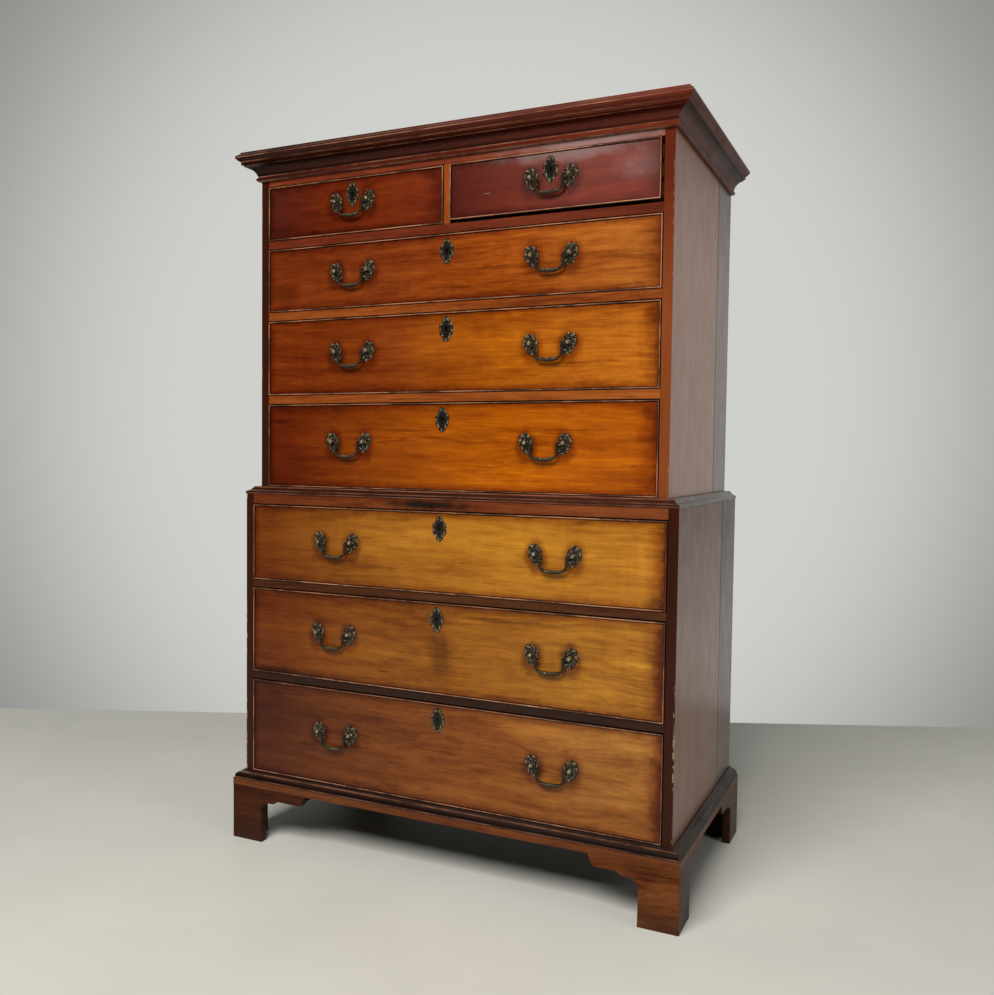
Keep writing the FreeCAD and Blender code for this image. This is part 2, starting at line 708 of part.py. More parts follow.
def leaf_plate(x, z, width, height, lobes, narrow, lean, y0, y1):
    """Lobed oval plate across Y, with a crest at the top, each lobe one arc."""
    def at(turn_by, reach):
        across = width / 2 * reach * math.cos(turn_by) * (1 - narrow + narrow * math.sin(turn_by))
        up = height / 2 * reach * math.sin(turn_by)
        return (x + across * math.cos(lean) - up * math.sin(lean),
                z + across * math.sin(lean) + up * math.cos(lean))

    step = 2 * math.pi / lobes
    start = (math.pi + step) / 2
    outline = [at(start, LOBE_VALLEY_RATIO)]
    for i in range(lobes):
        valley = start + i * step
        outline.append((at(valley + step / 2, 1.0), at(valley + step, LOBE_VALLEY_RATIO)))
    outline[-1] = (outline[-1][0], outline[0])
    return extrude(outline, "y", y0, y1)


def flat_face(points, x):
    """Flat face in the plane of X through the (Y, Z) points."""
    return Part.Face(Part.makePolygon([Vector(x, y, z) for y, z in points + points[:1]]))


def post(x, z, face, inside):
    """Shank, flange, neck and knob turned in one, and drilled along X for the bail."""
    axis = face - POST_OUT
    k = KNOB_R
    flange = face - ROSETTE_T
    profile = [(axis - k, 0), (axis - k, k / 2), (axis - k / 2, k), (axis + k / 2, k),
               (axis + k, k * 0.6), (flange - k * 0.3, k * 0.8), (flange, k * 1.2),
               (flange, SHANK_R), (inside + NUT_T, SHANK_R), (inside + NUT_T, 0)]
    half = flat_face([(y, z + radius) for y, radius in profile], x)
    rod = half.revolve(Vector(x, axis, z), Vector(0, 1, 0), 360)
    hole = Part.makeCylinder(BAIL_R + PIN_CLEAR, 4 * k, Vector(x - 2 * k, axis, z),
                             Vector(1, 0, 0))
    return rod.cut(hole)


def handle_brass(d, x):
    """Two rosettes, two posts and the nuts that hold them inside the drawer."""
    solids = []
    for sign in (-1, 1):
        place = x + sign * POST_PITCH / 2
        rod = post(place, d.post_z, d.face, d.inside)
        leaf = leaf_plate(place, d.post_z - ROSETTE_FALL, ROSETTE_W, ROSETTE_H, ROSETTE_LOBES,
                          ROSETTE_TAPER_RATIO, -sign * math.radians(ROSETTE_LEAN),
                          d.face - ROSETTE_T, d.face)
        nut = Part.makeCylinder(NUT_R, NUT_T, Vector(place, d.inside, d.post_z), Vector(0, 1, 0))
        solids += [rod, leaf.cut(rod), nut.cut(rod)]
    return solids


def turned(radius, start, heading, centre, degrees):
    """Bent rod: a disc at start, facing heading, swung about a centre in the XZ plane."""
    disc = Part.Face(Part.Wire(Part.makeCircle(radius, start, heading)))
    return disc.revolve(centre, Vector(0, 1, 0), degrees)


def swan_neck():
    """Swan-neck bail about the middle of its pins' axis: a pin, a bend, a leg and a knee on
    each side, then collar and grip."""
    leg = LEG_PITCH / 2
    knee = math.radians(KNEE_TURN)
    slope = math.radians(90 - KNEE_TURN)
    collar_x = leg - KNEE_R + KNEE_R * math.cos(knee)
    grip_bend = collar_x / math.sin(slope)
    collar_z = grip_bend * (1 - math.cos(slope)) - BAIL_DROP
    knee_z = collar_z + KNEE_R * math.sin(knee)
    pin = POST_PITCH / 2 + KNOB_R / 2
    heading = Vector(-math.cos(slope), 0, -math.sin(slope))
    rods = [turned(GRIP_R, Vector(collar_x, 0, collar_z), heading,
                   Vector(0, 0, grip_bend - BAIL_DROP), 2 * math.degrees(slope))]
    for sign in (-1, 1):
        bend_x = sign * (leg + LEG_BEND)
        rods.append(Part.makeCylinder(BAIL_R, pin - leg - LEG_BEND, Vector(bend_x, 0, 0),
                                      Vector(sign, 0, 0)))
        rods.append(turned(BAIL_R, Vector(bend_x, 0, 0), Vector(-sign, 0, 0),
                           Vector(bend_x, 0, -LEG_BEND), -sign * 90))
        rods.append(Part.makeCylinder(BAIL_R, -LEG_BEND - knee_z, Vector(sign * leg, 0, knee_z),
                                      Vector(0, 0, 1)))
        rods.append(turned(BAIL_R, Vector(sign * leg, 0, knee_z), Vector(0, 0, -1),
                           Vector(sign * (leg - KNEE_R), 0, knee_z), sign * KNEE_TURN))
        along = Vector(math.cos(slope), 0, sign * math.sin(slope))
        collar = Vector(sign * collar_x, 0, collar_z) - along * (COLLAR_T / 2)
        rods.append(Part.makeCylinder(COLLAR_R, COLLAR_T, collar, along))
    return rods[0].fuse(rods[1:])


def build_drawer(d, bail):
    """Writes one drawer: front with beads, box, brass and bails."""
    sides = [drawer_side(d, d.left, d.left + DRAWER_SIDE_T),
             drawer_side(d, d.right, d.right - DRAWER_SIDE_T)]
    inner = (d.left + DRAWER_SIDE_T, d.right - DRAWER_SIDE_T)
    panel = box(inner[0] - BOTTOM_GROOVE, inner[1] + BOTTOM_GROOVE, d.inside - BOTTOM_GROOVE,
                d.end, d.board_z, d.board_z + BOTTOM_T)
    rear = box(d.left, d.right, d.end - DRAWER_SIDE_T, d.end, d.board_z + BOTTOM_T,
               d.side_top - BACK_DROP)
    slips = [box(inner[0], inner[0] + SLIP_W, d.inside, d.end, d.side_foot, d.board_z),
             box(inner[1] - SLIP_W, inner[1], d.inside, d.end, d.side_foot, d.board_z)]
    trim = beads(d)
    lock_case = lock(d)
    key = keyhole(d.middle, d.top - KEYHOLE_DOWN, d.face - ESCUTCHEON_T, d.inside - LOCK_T / 2)
    escutcheon = leaf_plate(d.middle, d.top - ESCUTCHEON_DOWN, ESCUTCHEON_W, ESCUTCHEON_H,
                            ESCUTCHEON_LOBES, 0.0, 0.0, d.face - ESCUTCHEON_T, d.face)
    brass = [escutcheon.cut(key), lock_case.cut(key)]
    for end, x in d.handles.items():
        brass += handle_brass(d, x)
        save(f"{d.name}_drawer_bail{end}",
             [bail.translated(Vector(x, d.face - POST_OUT, d.post_z))])
    board = box(d.left, d.right, d.face, d.inside, d.bottom, d.top)
    board = cut_by(board, trim + sides + [panel, lock_case, key])
    holes = [Part.makeCylinder(SHANK_R, FRONT_T, Vector(x + sign * POST_PITCH / 2, d.face, d.post_z),
                               Vector(0, 1, 0)) for x in d.handles.values() for sign in (-1, 1)]
    save(f"{d.name}_drawer_front", [cut_by(board, holes)] + trim)
    save(f"{d.name}_drawer_box", [piece.cut(panel) for piece in sides]
         + [cut_by(rear, sides), panel] + slips)
    save(f"{d.name}_drawer_brass", brass)


def main():
    os.makedirs("parts", exist_ok=True)
    lower_drawers, upper_drawers = list_drawers()
    lower_case(lower_drawers)
    upper_case(upper_drawers)
    plinth_frame()
    base_moulding()
    waist_moulding()
    cornice()
    front_foot("foot_front_left", -1, FOOT_RUN_LONG)
    front_foot("foot_front_right", 1, FOOT_RUN)
    back_foot("foot_back_left", -1)
    back_foot("foot_back_right", 1)
    bail = swan_neck()
    for drawer in lower_drawers + upper_drawers:
        build_drawer(drawer, bail)


main()
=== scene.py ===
import math
import random

import bmesh
import bpy
from bpy.props import FloatProperty, FloatVectorProperty, PointerProperty
from mathutils import Matrix, Vector


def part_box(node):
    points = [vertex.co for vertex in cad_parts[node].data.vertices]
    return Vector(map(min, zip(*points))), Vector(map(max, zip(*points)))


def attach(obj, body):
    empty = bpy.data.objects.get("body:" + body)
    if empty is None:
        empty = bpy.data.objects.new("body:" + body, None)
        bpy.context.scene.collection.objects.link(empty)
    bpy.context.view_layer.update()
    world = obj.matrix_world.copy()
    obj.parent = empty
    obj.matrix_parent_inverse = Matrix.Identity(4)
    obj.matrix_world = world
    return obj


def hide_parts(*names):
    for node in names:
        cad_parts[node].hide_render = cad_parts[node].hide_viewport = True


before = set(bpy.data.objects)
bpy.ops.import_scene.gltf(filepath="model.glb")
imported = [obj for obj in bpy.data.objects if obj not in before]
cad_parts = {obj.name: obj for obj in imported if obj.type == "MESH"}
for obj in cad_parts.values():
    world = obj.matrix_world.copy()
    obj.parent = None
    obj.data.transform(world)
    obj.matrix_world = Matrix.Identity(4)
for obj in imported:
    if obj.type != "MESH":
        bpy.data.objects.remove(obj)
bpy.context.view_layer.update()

bl_info = {
    "name": "Mahogany chest on chest",
    "version": (1, 0, 0),
    "blender": (4, 5, 0),
    "location": "3D View > Sidebar > Chest",
    "description": "Dresses the packed solids of a chest on chest with its wood and brass",
    "category": "Object",
}

MM = 0.001
SHORT = ("short_left", "short_right")
LOWER = ("lower_third", "lower_second", "lower_first")
UPPER = ("upper_third", "upper_second", "upper_first")
DRAWERS = LOWER + UPPER + SHORT
CASES = {"lower": "lower_chest", "upper": "upper_chest"}

# Colour of each drawer front at its left end, left of the middle, right of it and right end.
# the darker left ends are partly the wood's fading and partly painted shade
FRONT_TONES = {
    "lower_third": ("#4E1F0A", "#763E15", "#8D511C", "#A0662A"),
    "lower_second": ("#662D06", "#80470F", "#955A14", "#AF7423"),
    "lower_first": ("#71370B", "#9B601B", "#AA6D1C", "#AD6E1F"),
    "upper_third": ("#5B1D05", "#833B06", "#A04F03", "#A04E08"),
    "upper_second": ("#6C2A07", "#702E0A", "#9C5009", "#AB6017"),
    "upper_first": ("#6A2A0B", "#7A3510", "#97490F", "#9A551C"),
    "short_left": ("#4E1C12", "#5D1F06", "#622207", "#63230D"),
    "short_right": ("#4C170D", "#652315", "#6C2719", "#74291B"),
}
ENDS = ("left", "inner_left", "inner_right", "right")


def linear(code):
    """sRGB hex to linear RGBA."""
    values = [int(code[i:i + 2], 16) / 255 for i in (1, 3, 5)]
    return tuple(v / 12.92 if v <= 0.04045 else ((v + 0.055) / 1.055) ** 2.4
                 for v in values) + (1.0,)


def size(name, default, description):
    """A length that the panel offers, its default given in millimetres."""
    return FloatProperty(name=name, default=default * MM, description=description,
                         unit="LENGTH", min=0.0)


def colour(name, code, description):
    """A colour that the panel offers, its default given as sRGB hex."""
    return FloatVectorProperty(name=name, default=linear(code), size=4, subtype="COLOR",
                               min=0.0, max=1.0, description=description)


class ChestSizes(bpy.types.PropertyGroup):
    """Sizes that the dressing adds to those of the solids."""

    arris: size("Arris", 0.9, "Rounding of the long edges of the carcass boards")
    soft: size("Moulding edge", 0.5, "Rounding of the small edges of the mouldings")
    bead: size("Cock bead", 3.0, "Width of the bead round each drawer front")
    bead_gap: size("Bead gap", 1.0, "Open line between a bead and its drawer front")
    lower_strip: size("Lower rear board", 158.0, "Width of the rear board of each lower side")
    upper_strip: size("Upper rear board", 138.0, "Width of the rear board of each upper side")
    bail: size("Bail pin", 2.1, "Radius of a bail's pins; its legs and grip are thicker")
    post_pitch: size("Post pitch", 88.0, "Distance between the two posts of a handle")
    relief: size("Rosette relief", 2.8, "Height of the casting's leafage above its plate")


class ChestColours(bpy.types.PropertyGroup):
    """Colours of the wood, the brass and the room."""

    panel: colour("Side panels", "#985E3C", "Faded mahogany of the carcass sides")
    panel_low: colour("Lower side panels", "#7B4E33", "Mahogany of the lower carcass sides")
    # the rear boards' colours hold a painted sheen that makes them greyer
    panel_rear_with_sheen: colour("Rear boards", "#6B4F44", "Greyer wood of the rear side boards")
    panel_low_rear_with_sheen: colour("Lower rear boards", "#5C4438", "Rear boards of the lower sides")
    stile: colour("Stiles", "#35160A", "Front edges of the carcass sides")
    stile_bright: colour("Bright stile", "#82421F", "Front edge of the upper right side")
    stile_top: colour("Top of the stile", "#581F0E", "The same edge beside the short drawers")
    upper_rail: colour("Upper rails", "#8B471B", "Mahogany between the long upper drawers")
    upper_rail_top: colour("Topmost rail", "#5C2412", "Mahogany under the short drawers")
    lower_rail: colour("Lower rails", "#2C160B", "Mahogany between the lower drawers")
    lower_rail_top: colour("Upper rail below", "#4A260F", "Mahogany under the first drawer")
    upper_frieze: colour("Upper frieze", "#7A361E", "Mahogany between cornice and drawers")
    lower_frieze: colour("Lower frieze", "#70371A", "Mahogany under the waist moulding")
    divider: colour("Divider", "#8A4216", "Upright between the short drawers")
    cornice: colour("Cornice", "#6A2816", "Stained mahogany of the cornice")
    cornice_left: colour("Cornice at the left", "#2C0F08", "Darker left end of the cornice")
    waist: colour("Waist moulding", "#4C220F", "Stained mahogany of the waist moulding")
    base: colour("Base moulding", "#200E07", "Nearly black stained mahogany of the base moulding")
    band: colour("Base band", "#69381A", "Mahogany of the band above the feet")
    foot_left: colour("Left feet", "#43200E", "Dark mahogany of the left feet")
    foot_right: colour("Right feet", "#6C3B19", "Lighter mahogany of the right feet")
    # darker colour of the feet's sides and backs: painted shade
    foot_side: colour("Foot sides", "#3C241A", "Duller wood of the feet behind their fronts")
    bead: colour("Cock beads", "#2E140A", "Mahogany of the beads round the drawers")
    # pale colour of the painted highlight along the beads' crests
    bead_crest_highlight: colour("Bead crest", "#AE7654", "Rubbed crest of the beads")
    oak: colour("Oak", "#9A7448", "Oak of the drawer linings")
    pine: colour("Pine", "#8A6540", "Pine of the backs, dust boards and glue blocks")
    # near-black pine under the lower chest: painted shade that deepens the shadow there
    underside: colour("Underside", "#2A2019", "Sooty pine under the lower chest")
    patina: colour("Patina", "#3A2C1C", "Old lacquer and dirt on the brass")
    # pale colour of the painted highlight lines along the mouldings' arrises
    arris: colour("Rubbed arrises", "#A8765A", "Edges of the mouldings worn to bare wood")
    rubbed: colour("Rubbed brass", "#CDBF98", "Brass where hands have rubbed it")
    wall: colour("Wall", "#FEFFFA", "Tint of the pale room seen behind the chest")
    floor: colour("Floor", "#DEDCD1", "Pale floor under the chest")


class FrontColours(bpy.types.PropertyGroup):
    """Colours of each drawer front along its length."""


# one property for each place on each front
for drawer, tones in FRONT_TONES.items():
    for end, tone in zip(ENDS, tones):
        label = f"{drawer} {end}".replace("_", " ")
        FrontColours.__annotations__[f"{drawer}_{end}"] = colour(
            label.capitalize(), tone, "Colour of the wood at this place on the front")


def sizes():
    return bpy.context.scene.chest_sizes


def colours():
    return bpy.context.scene.chest_colours


# ---- shells: points, faces and the run of the grain ----

# Rounding of edges whose size isn't in the panel.
FINE_EDGE = 0.3 * MM            # solid top of the cock beads
LOCK_EDGE = 0.4 * MM
FRONT_EDGE = 0.6 * MM           # drawer fronts, and tongues of the back boards
RAIL_EDGE = 0.8 * MM
BOARD_EDGE = 1.0 * MM           # back boards, and brackets of the feet
BLOCK_EDGE = 1.2 * MM           # glue blocks


def linked(name, data):
    """A new object in the scene that holds the data."""
    item = bpy.data.objects.new(name, data)
    bpy.context.collection.objects.link(item)
    return item


def outward(mesh):
    """Turns the faces of a mesh of closed shells outwards."""
    work = bmesh.new()
    work.from_mesh(mesh)
    bmesh.ops.recalc_face_normals(work, faces=list(work.faces))
    work.to_mesh(mesh)
    work.free()


def loft(work, near, far):
    """Skins the space between two loops of places and returns the two faces that end it."""
    near = [work.verts.new(place) for place in near]
    far = [work.verts.new(place) for place in far]
    ends = [work.faces.new(near), work.faces.new(far[::-1])]
    for i in range(len(near)):
        j = (i + 1) % len(near)
        work.faces.new((near[j], near[i], far[i], far[j]))
    return ends


class Shells:
    """Closed shells in metres. Each point also holds its place in the wood, along the
    grain first, so that a pattern runs the right way on every board."""

    def __init__(self, seed=0):
        self.points = []
        self.faces = []
        self.grain = []
        self.random = random.Random(seed)

    def add(self, points, faces, grain):
        """Adds a closed shell, with its grain moved to wood of its own."""
        start = len(self.points)
        shift = Vector([self.random.uniform(-5, 5) for _ in range(3)])
        self.points += [Vector(p) for p in points]
        self.faces += [[start + i for i in face] for face in faces]
        self.grain += [Vector(g) + shift for g in grain]

    def board(self, low, high, along, soft):
        """A board with rounded arrises; along is 0, 1 or 2 for grain along X, Y or Z."""
        work = bmesh.new()
        bmesh.ops.create_cube(work, size=1.0)
        spans = [b - a for a, b in zip(low, high)]
        middle = (Vector(low) + Vector(high)) / 2
        for vertex in work.verts:
            vertex.co = Vector([c * s for c, s in zip(vertex.co, spans)]) + middle
        bmesh.ops.bevel(work, geom=list(work.edges), offset=min(soft, min(spans) / 3),
                        segments=2, profile=0.5, affect="EDGES")
        self.take(work, along)

    def take(self, work, along):
        """Takes over a worked mesh, with its grain along one of the axes."""
        work.verts.index_update()
        points = [v.co.copy() for v in work.verts]
        faces = [[v.index for v in face.verts] for face in work.faces]
        order = [along] + [i for i in range(3) if i != along]
        self.add(points, faces, [[p[i] for i in order] for p in points])
        work.free()

    def piece(self, name, body, material, replaced, slot_name, smooth=30):
        """The finished piece, riding on its body in place of its CAD nodes."""
        mesh = bpy.data.meshes.new(name)
        mesh.from_pydata([tuple(p) for p in self.points], [], self.faces)
        attribute = mesh.attributes.new("grain", "FLOAT_VECTOR", "POINT")
        attribute.data.foreach_set("vector", [c for g in self.grain for c in g])
        outward(mesh)
        return finished(name, mesh, body, material, replaced, smooth)


def finished(name, mesh, body, material, replaced, smooth=30):
    """Puts a mesh in the scene with its finish, its body and its CAD nodes named."""
    if not mesh.polygons:
        raise RuntimeError(f"{name} has no faces")
    mesh.name = name
    piece = linked(name, mesh)
    mesh.materials.clear()
    mesh.materials.append(material)
    mesh.shade_smooth()
    mesh.set_sharp_from_angle(angle=math.radians(smooth))
    # flat faces stay flat beside the small rounded edges they share points with
    weighted = piece.modifiers.new("weighted", "WEIGHTED_NORMAL")
    weighted.keep_sharp = True
    graph = bpy.context.evaluated_depsgraph_get()
    flat = bpy.data.meshes.new_from_object(piece.evaluated_get(graph))
    piece.modifiers.clear()
    piece.data = flat
    bpy.data.meshes.remove(mesh)
    flat.name = name
    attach(piece, body)
    if replaced:
        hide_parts(*replaced)
    return piece


def arc(start, through, end, steps):
    """Points after start on the circle through three points of a plane."""
    (ax, ay), (bx, by), (cx, cy) = start, through, end
    d = 2 * (ax * (by - cy) + bx * (cy - ay) + cx * (ay - by))
    aa, bb, cc = ax * ax + ay * ay, bx * bx + by * by, cx * cx + cy * cy
    ox = (aa * (by - cy) + bb * (cy - ay) + cc * (ay - by)) / d
    oy = (aa * (cx - bx) + bb * (ax - cx) + cc * (bx - ax)) / d
    turn = [math.atan2(y - oy, x - ox) for x, y in (start, through, end)]
    sweep = (turn[2] - turn[0]) % (2 * math.pi)
    if (turn[1] - turn[0]) % (2 * math.pi) > sweep:
        sweep -= 2 * math.pi
    radius = math.hypot(ax - ox, ay - oy)
    return [(ox + radius * math.cos(turn[0] + sweep * i / steps),
             oy + radius * math.sin(turn[0] + sweep * i / steps)) for i in range(1, steps + 1)]


def outline(steps, soft=0.0, arc_steps=6):
    """Polygon of an outline whose steps are points or (through, to) arcs, with its
    sharp corners rounded off."""
    points = [steps[0]]
    for step in steps[1:]:
        if isinstance(step[0], tuple):
            points += arc(points[-1], step[0], step[1], arc_steps)
        else:
            points.append(step)
    if not soft:
        return points
    rounded = []
    count = len(points)
    for i, point in enumerate(points):
        here = Vector(point)
        back = Vector(points[i - 1]) - here
        ahead = Vector(points[(i + 1) % count]) - here
        bend = math.pi - back.angle(ahead)
        reach = min(soft, back.length * 0.4, ahead.length * 0.4)
        if bend < math.radians(25):
            rounded.append(point)
            continue
        a = here + back.normalized() * reach
        b = here + ahead.normalized() * reach
        rounded += [tuple(a), tuple((a + b + here * 2) / 4), tuple(b)]
    return rounded


def mitred(shells, corners, closed, sections, place):
    """One closed length per straight run between corners. A corner is (point, outward
    direction), and place(corner, step) puts a section's step there, so each mitre is cut
    by the plane that its corner's direction gives."""
    runs = len(corners) if closed else len(corners) - 1
    for i in range(runs):
        ends = (corners[i], corners[(i + 1) % len(corners)])
        section = sections[i % len(sections)]
        count = len(section)
        points = [place(end, step) for end in ends for step in section]
        faces = [[j, (j + 1) % count, count + (j + 1) % count, count + j] for j in range(count)]
        faces += [list(range(count)), list(range(2 * count - 1, count - 1, -1))]
        along = (Vector(ends[1][0]) - Vector(ends[0][0])).normalized()
        grain = [(Vector(p).dot(Vector(tuple(along) + (0.0,) * (3 - len(along)))), *step)
                 for p, step in zip(points, section * 2)]
        shells.add(points, faces, grain)


# ---- node trees ----

def add(tree, kind, inputs=None, **settings):
    """Adds a node with its settings, values and links; a node that is given as a value
    is linked by its first output."""
    node = tree.nodes.new(kind)
    for key, value in settings.items():
        setattr(node, key, value)
    for key, value in (inputs or {}).items():
        if isinstance(value, bpy.types.Node):
            value = value.outputs[0]
        if isinstance(value, bpy.types.NodeSocket):
            tree.links.new(value, node.inputs[key])
        else:
            node.inputs[key].default_value = value
    return node


def new_material(name):
    """An empty material and its tree."""
    material = bpy.data.materials.new(name)
    material.use_nodes = True
    material.node_tree.nodes.clear()
    return material, material.node_tree


def ramp(tree, factor, stops):
    """Colour ramp with its stops at (position, colour)."""
    node = add(tree, "ShaderNodeValToRGB", {"Fac": factor})
    elements = node.color_ramp.elements
    while len(elements) < len(stops):
        elements.new(0.5)
    for element, (position, value) in zip(elements, stops):
        element.position = position
        element.color = value
    return node.outputs["Color"]


def grain_vector(tree, axis):
    """Place in the wood, along the grain first: of the piece's own grain attribute, or of
    Object coordinates turned so that the given axis comes first."""
    if axis is None:
        return add(tree, "ShaderNodeAttribute", attribute_name="grain").outputs["Vector"]
    place = add(tree, "ShaderNodeTexCoord").outputs["Object"]
    if axis == 0:
        return place
    parts = add(tree, "ShaderNodeSeparateXYZ", {"Vector": place}).outputs
    order = [axis] + [i for i in range(3) if i != axis]
    return add(tree, "ShaderNodeCombineXYZ",
               {i: parts[j] for i, j in enumerate(order)}).outputs["Vector"]


def figure(tree, vector, stretch, detail=3.0, roughness=0.55, distortion=0.0, shift=0.0):
    """Noise drawn out along the grain; stretch is its count per metre along and across."""
    placed = add(tree, "ShaderNodeMapping", {
        "Vector": vector, "Location": (shift, shift * 1.7, shift * 0.6),
        "Scale": (stretch[0], stretch[1], stretch[1])}).outputs["Vector"]
    return add(tree, "ShaderNodeTexNoise", {
        "Vector": placed, "Scale": 1.0, "Detail": detail, "Roughness": roughness,
        "Distortion": distortion})


def wood(name, base, axis=None, contrast=0.9, swirl=0.009, ripple=0.0, coat=0.1, level=0.18,
         gloss=0.34, shift=0.0, marks=None, streaks=(3.2, 58.0), uneven=0.25):
    """Polished wood: broad clouds of tone, wavering streaks along the grain, fine pores, a
    ripple across the grain, and an old wax surface that is a little uneven. base is a
    colour or a function that makes one from nodes; marks changes that colour; coat and level
    may be functions that make their value from nodes too. Pairs such as streaks are counts
    per metre along and across the grain."""
    material, tree = new_material(name)
    vector = grain_vector(tree, axis)
    slow = add(tree, "ShaderNodeMapping", {
        "Vector": vector, "Location": (shift, shift * 1.7, shift * 0.6),
        "Scale": (2.2, 5.0, 5.0)}).outputs["Vector"]
    sway = add(tree, "ShaderNodeTexNoise", {
        "Vector": slow, "Scale": 1.0, "Detail": 2.0}).outputs["Color"]
    offset = add(tree, "ShaderNodeVectorMath", {
        0: sway, 1: (0.0, 4 * swirl, 4 * swirl), 2: (0.0, -2 * swirl, -2 * swirl)},
        operation="MULTIPLY_ADD")
    bent = add(tree, "ShaderNodeVectorMath", {0: vector, 1: offset}, operation="ADD")
    pores = figure(tree, vector, (11.0, 700.0), 2.0, 0.5, 0.0, shift + 3.1)
    # each layer of the figure with its weight
    layers = [(figure(tree, bent, (1.2, 9.0), 3.0, 0.55, 0.3, shift + 7.7), 1.0),
              (figure(tree, bent, streaks, 5.0, 0.68, 0.2, shift), 0.85),
              (figure(tree, bent, (20.0, 75.0), 4.0, 0.62, 0.5, shift + 2.6), 0.5),
              (figure(tree, bent, (6.0, 230.0), 3.0, 0.6, 0.0, shift + 4.1), 0.45),
              (figure(tree, vector, (75.0, 10.0), 2.0, 0.5, 0.6, shift + 1.9), ripple),
              (pores, 0.3)]
    tone = 0.5 - contrast * sum(weight for _, weight in layers) / 2
    for socket, weight in layers:
        tone = add(tree, "ShaderNodeMath", {0: socket, 1: weight * contrast, 2: tone},
                   operation="MULTIPLY_ADD")
    factor = ramp(tree, tone, [
        (0.10, (0.14, 0.08, 0.06, 1)), (0.38, (0.385, 0.34, 0.31, 1)),
        (0.62, (0.57, 0.60, 0.61, 1)), (0.92, (0.84, 1.0, 1.0, 1))])
    veins = figure(tree, bent, (streaks[0] * 1.6, streaks[1] * 1.25), 4.0, 0.55, 0.6,
                   shift + 12.4)
    veins = smooth_range(tree, veins, 0.28, 0.42, min(1.0, contrast * 0.75), 0.0)
    factor = tinted(tree, veins, factor, (0.50, 0.36, 0.30, 1), "MULTIPLY")
    start = base(tree) if callable(base) else tuple(base)
    hue = tinted(tree, 1.0, start, factor, "MULTIPLY")
    hue = add(tree, "ShaderNodeVectorMath", {0: hue, 3: 2.0}, operation="SCALE")
    if marks:
        hue = marks(tree, hue)
    waxed = add(tree, "ShaderNodeMapRange", {
        "Value": figure(tree, vector, (14.0, 24.0), 3.0, 0.6, 0.0, shift + 5.0),
        "From Min": 0.3, "From Max": 0.7, "To Min": gloss - 0.05, "To Max": gloss + 0.08})
    waves = figure(tree, vector, (5.0, 12.0), 2.0, 0.5, 0.0, shift + 9.0)
    low = add(tree, "ShaderNodeBump", {
        "Height": waves, "Strength": uneven, "Distance": 4.0 * MM})
    bump = add(tree, "ShaderNodeBump", {
        "Height": pores, "Normal": low, "Strength": 0.15, "Distance": 0.5 * MM})
    shader = add(tree, "ShaderNodeBsdfPrincipled", {
        "Base Color": hue, "Roughness": waxed, "Normal": bump, "IOR": 1.5,
        "Coat Weight": coat(tree) if callable(coat) else coat, "Coat Roughness": 0.2,
        "Specular IOR Level": level(tree) if callable(level) else level})
    add(tree, "ShaderNodeOutputMaterial", {"Surface": shader})
    return material


def along_axis(tree, axis, start, end, low, high):
    """Value that changes from low to high between two places along an axis."""
    place = add(tree, "ShaderNodeTexCoord").outputs["Object"]
    along = add(tree, "ShaderNodeSeparateXYZ", {"Vector": place}).outputs[axis]
    return add(tree, "ShaderNodeMapRange", {
        "Value": along, "From Min": start, "From Max": end, "To Min": low, "To Max": high})


def between(tree, axis, start, end, low, high):
    """Colour that changes from low to high between two places along an axis."""
    return tinted(tree, along_axis(tree, axis, start, end, 0.0, 1.0), tuple(low), tuple(high))


def tinted(tree, amount, hue, target, blend="MIX"):
    """Colour mixed with, or multiplied by, a target by the given amount."""
    return add(tree, "ShaderNodeMix", {0: amount, 6: hue, 7: target}, data_type="RGBA",
               blend_type=blend).outputs[2]


def smooth_range(tree, value, start, end, low, high):
    """Value that changes smoothly from low to high while another goes from start to end."""
    return add(tree, "ShaderNodeMapRange", {
        "Value": value, "From Min": start, "From Max": end, "To Min": low, "To Max": high},
        interpolation_type="SMOOTHSTEP")


def distance(tree, value, place):
    """Distance of a value from a place on its axis."""
    away = add(tree, "ShaderNodeMath", {0: value, 1: place}, operation="SUBTRACT")
    return add(tree, "ShaderNodeMath", {0: away}, operation="ABSOLUTE")


def marked(tree, hue, kind, centre, half, strength):
    """A ragged oval mark on a face that looks along Y, with its centre and half sizes."""
    place = add(tree, "ShaderNodeTexCoord").outputs["Object"]
    ragged = add(tree, "ShaderNodeTexNoise", {
        "Vector": place, "Scale": 34.0, "Detail": 5.0, "Roughness": 0.65})
    away = add(tree, "ShaderNodeVectorMath", {0: place, 1: centre}, operation="SUBTRACT")
    away = add(tree, "ShaderNodeVectorMath", {
        0: away, 1: (1 / half[0], 0.0, 1 / half[1])}, operation="MULTIPLY")
    away = add(tree, "ShaderNodeVectorMath", {0: away}, operation="LENGTH")
    away = add(tree, "ShaderNodeMath", {0: ragged, 1: -1.4, 2: away.outputs["Value"]},
               operation="MULTIPLY_ADD")
    spread = smooth_range(tree, away, -0.5, 0.5, strength, 0.0)
    return tinted(tree, spread, hue, *kind)


# ---- drawer fronts ----

FRONT_LAP = 7.0 * MM            # wood of the front that covers the ends of its dovetails
DRAWER_SIDE = 10.0 * MM         # how far the sockets of the drawer's sides reach in
CASE_DOWN = 3.0 * MM            # from the upper bead to the drawer's sides
TAIL_SPACING = 42.0 * MM
TAIL_ROOT = 0.32                # half width of a dovetail's root, as a share of the spacing
TAIL_SLOPE = 6.0                # length of a dovetail over its flare
KEYHOLE_DOWN = 35.0 * MM        # from the front's top to the round of its keyhole
KEYHOLE_R = 2.3 * MM
KEYHOLE_SLOT = 2.4 * MM
KEYHOLE_LENGTH = 9.0 * MM       # from the middle of its round to the foot of its slot
OVERLAP = 1.0 * MM              # reach of joined shapes and cutters past a face


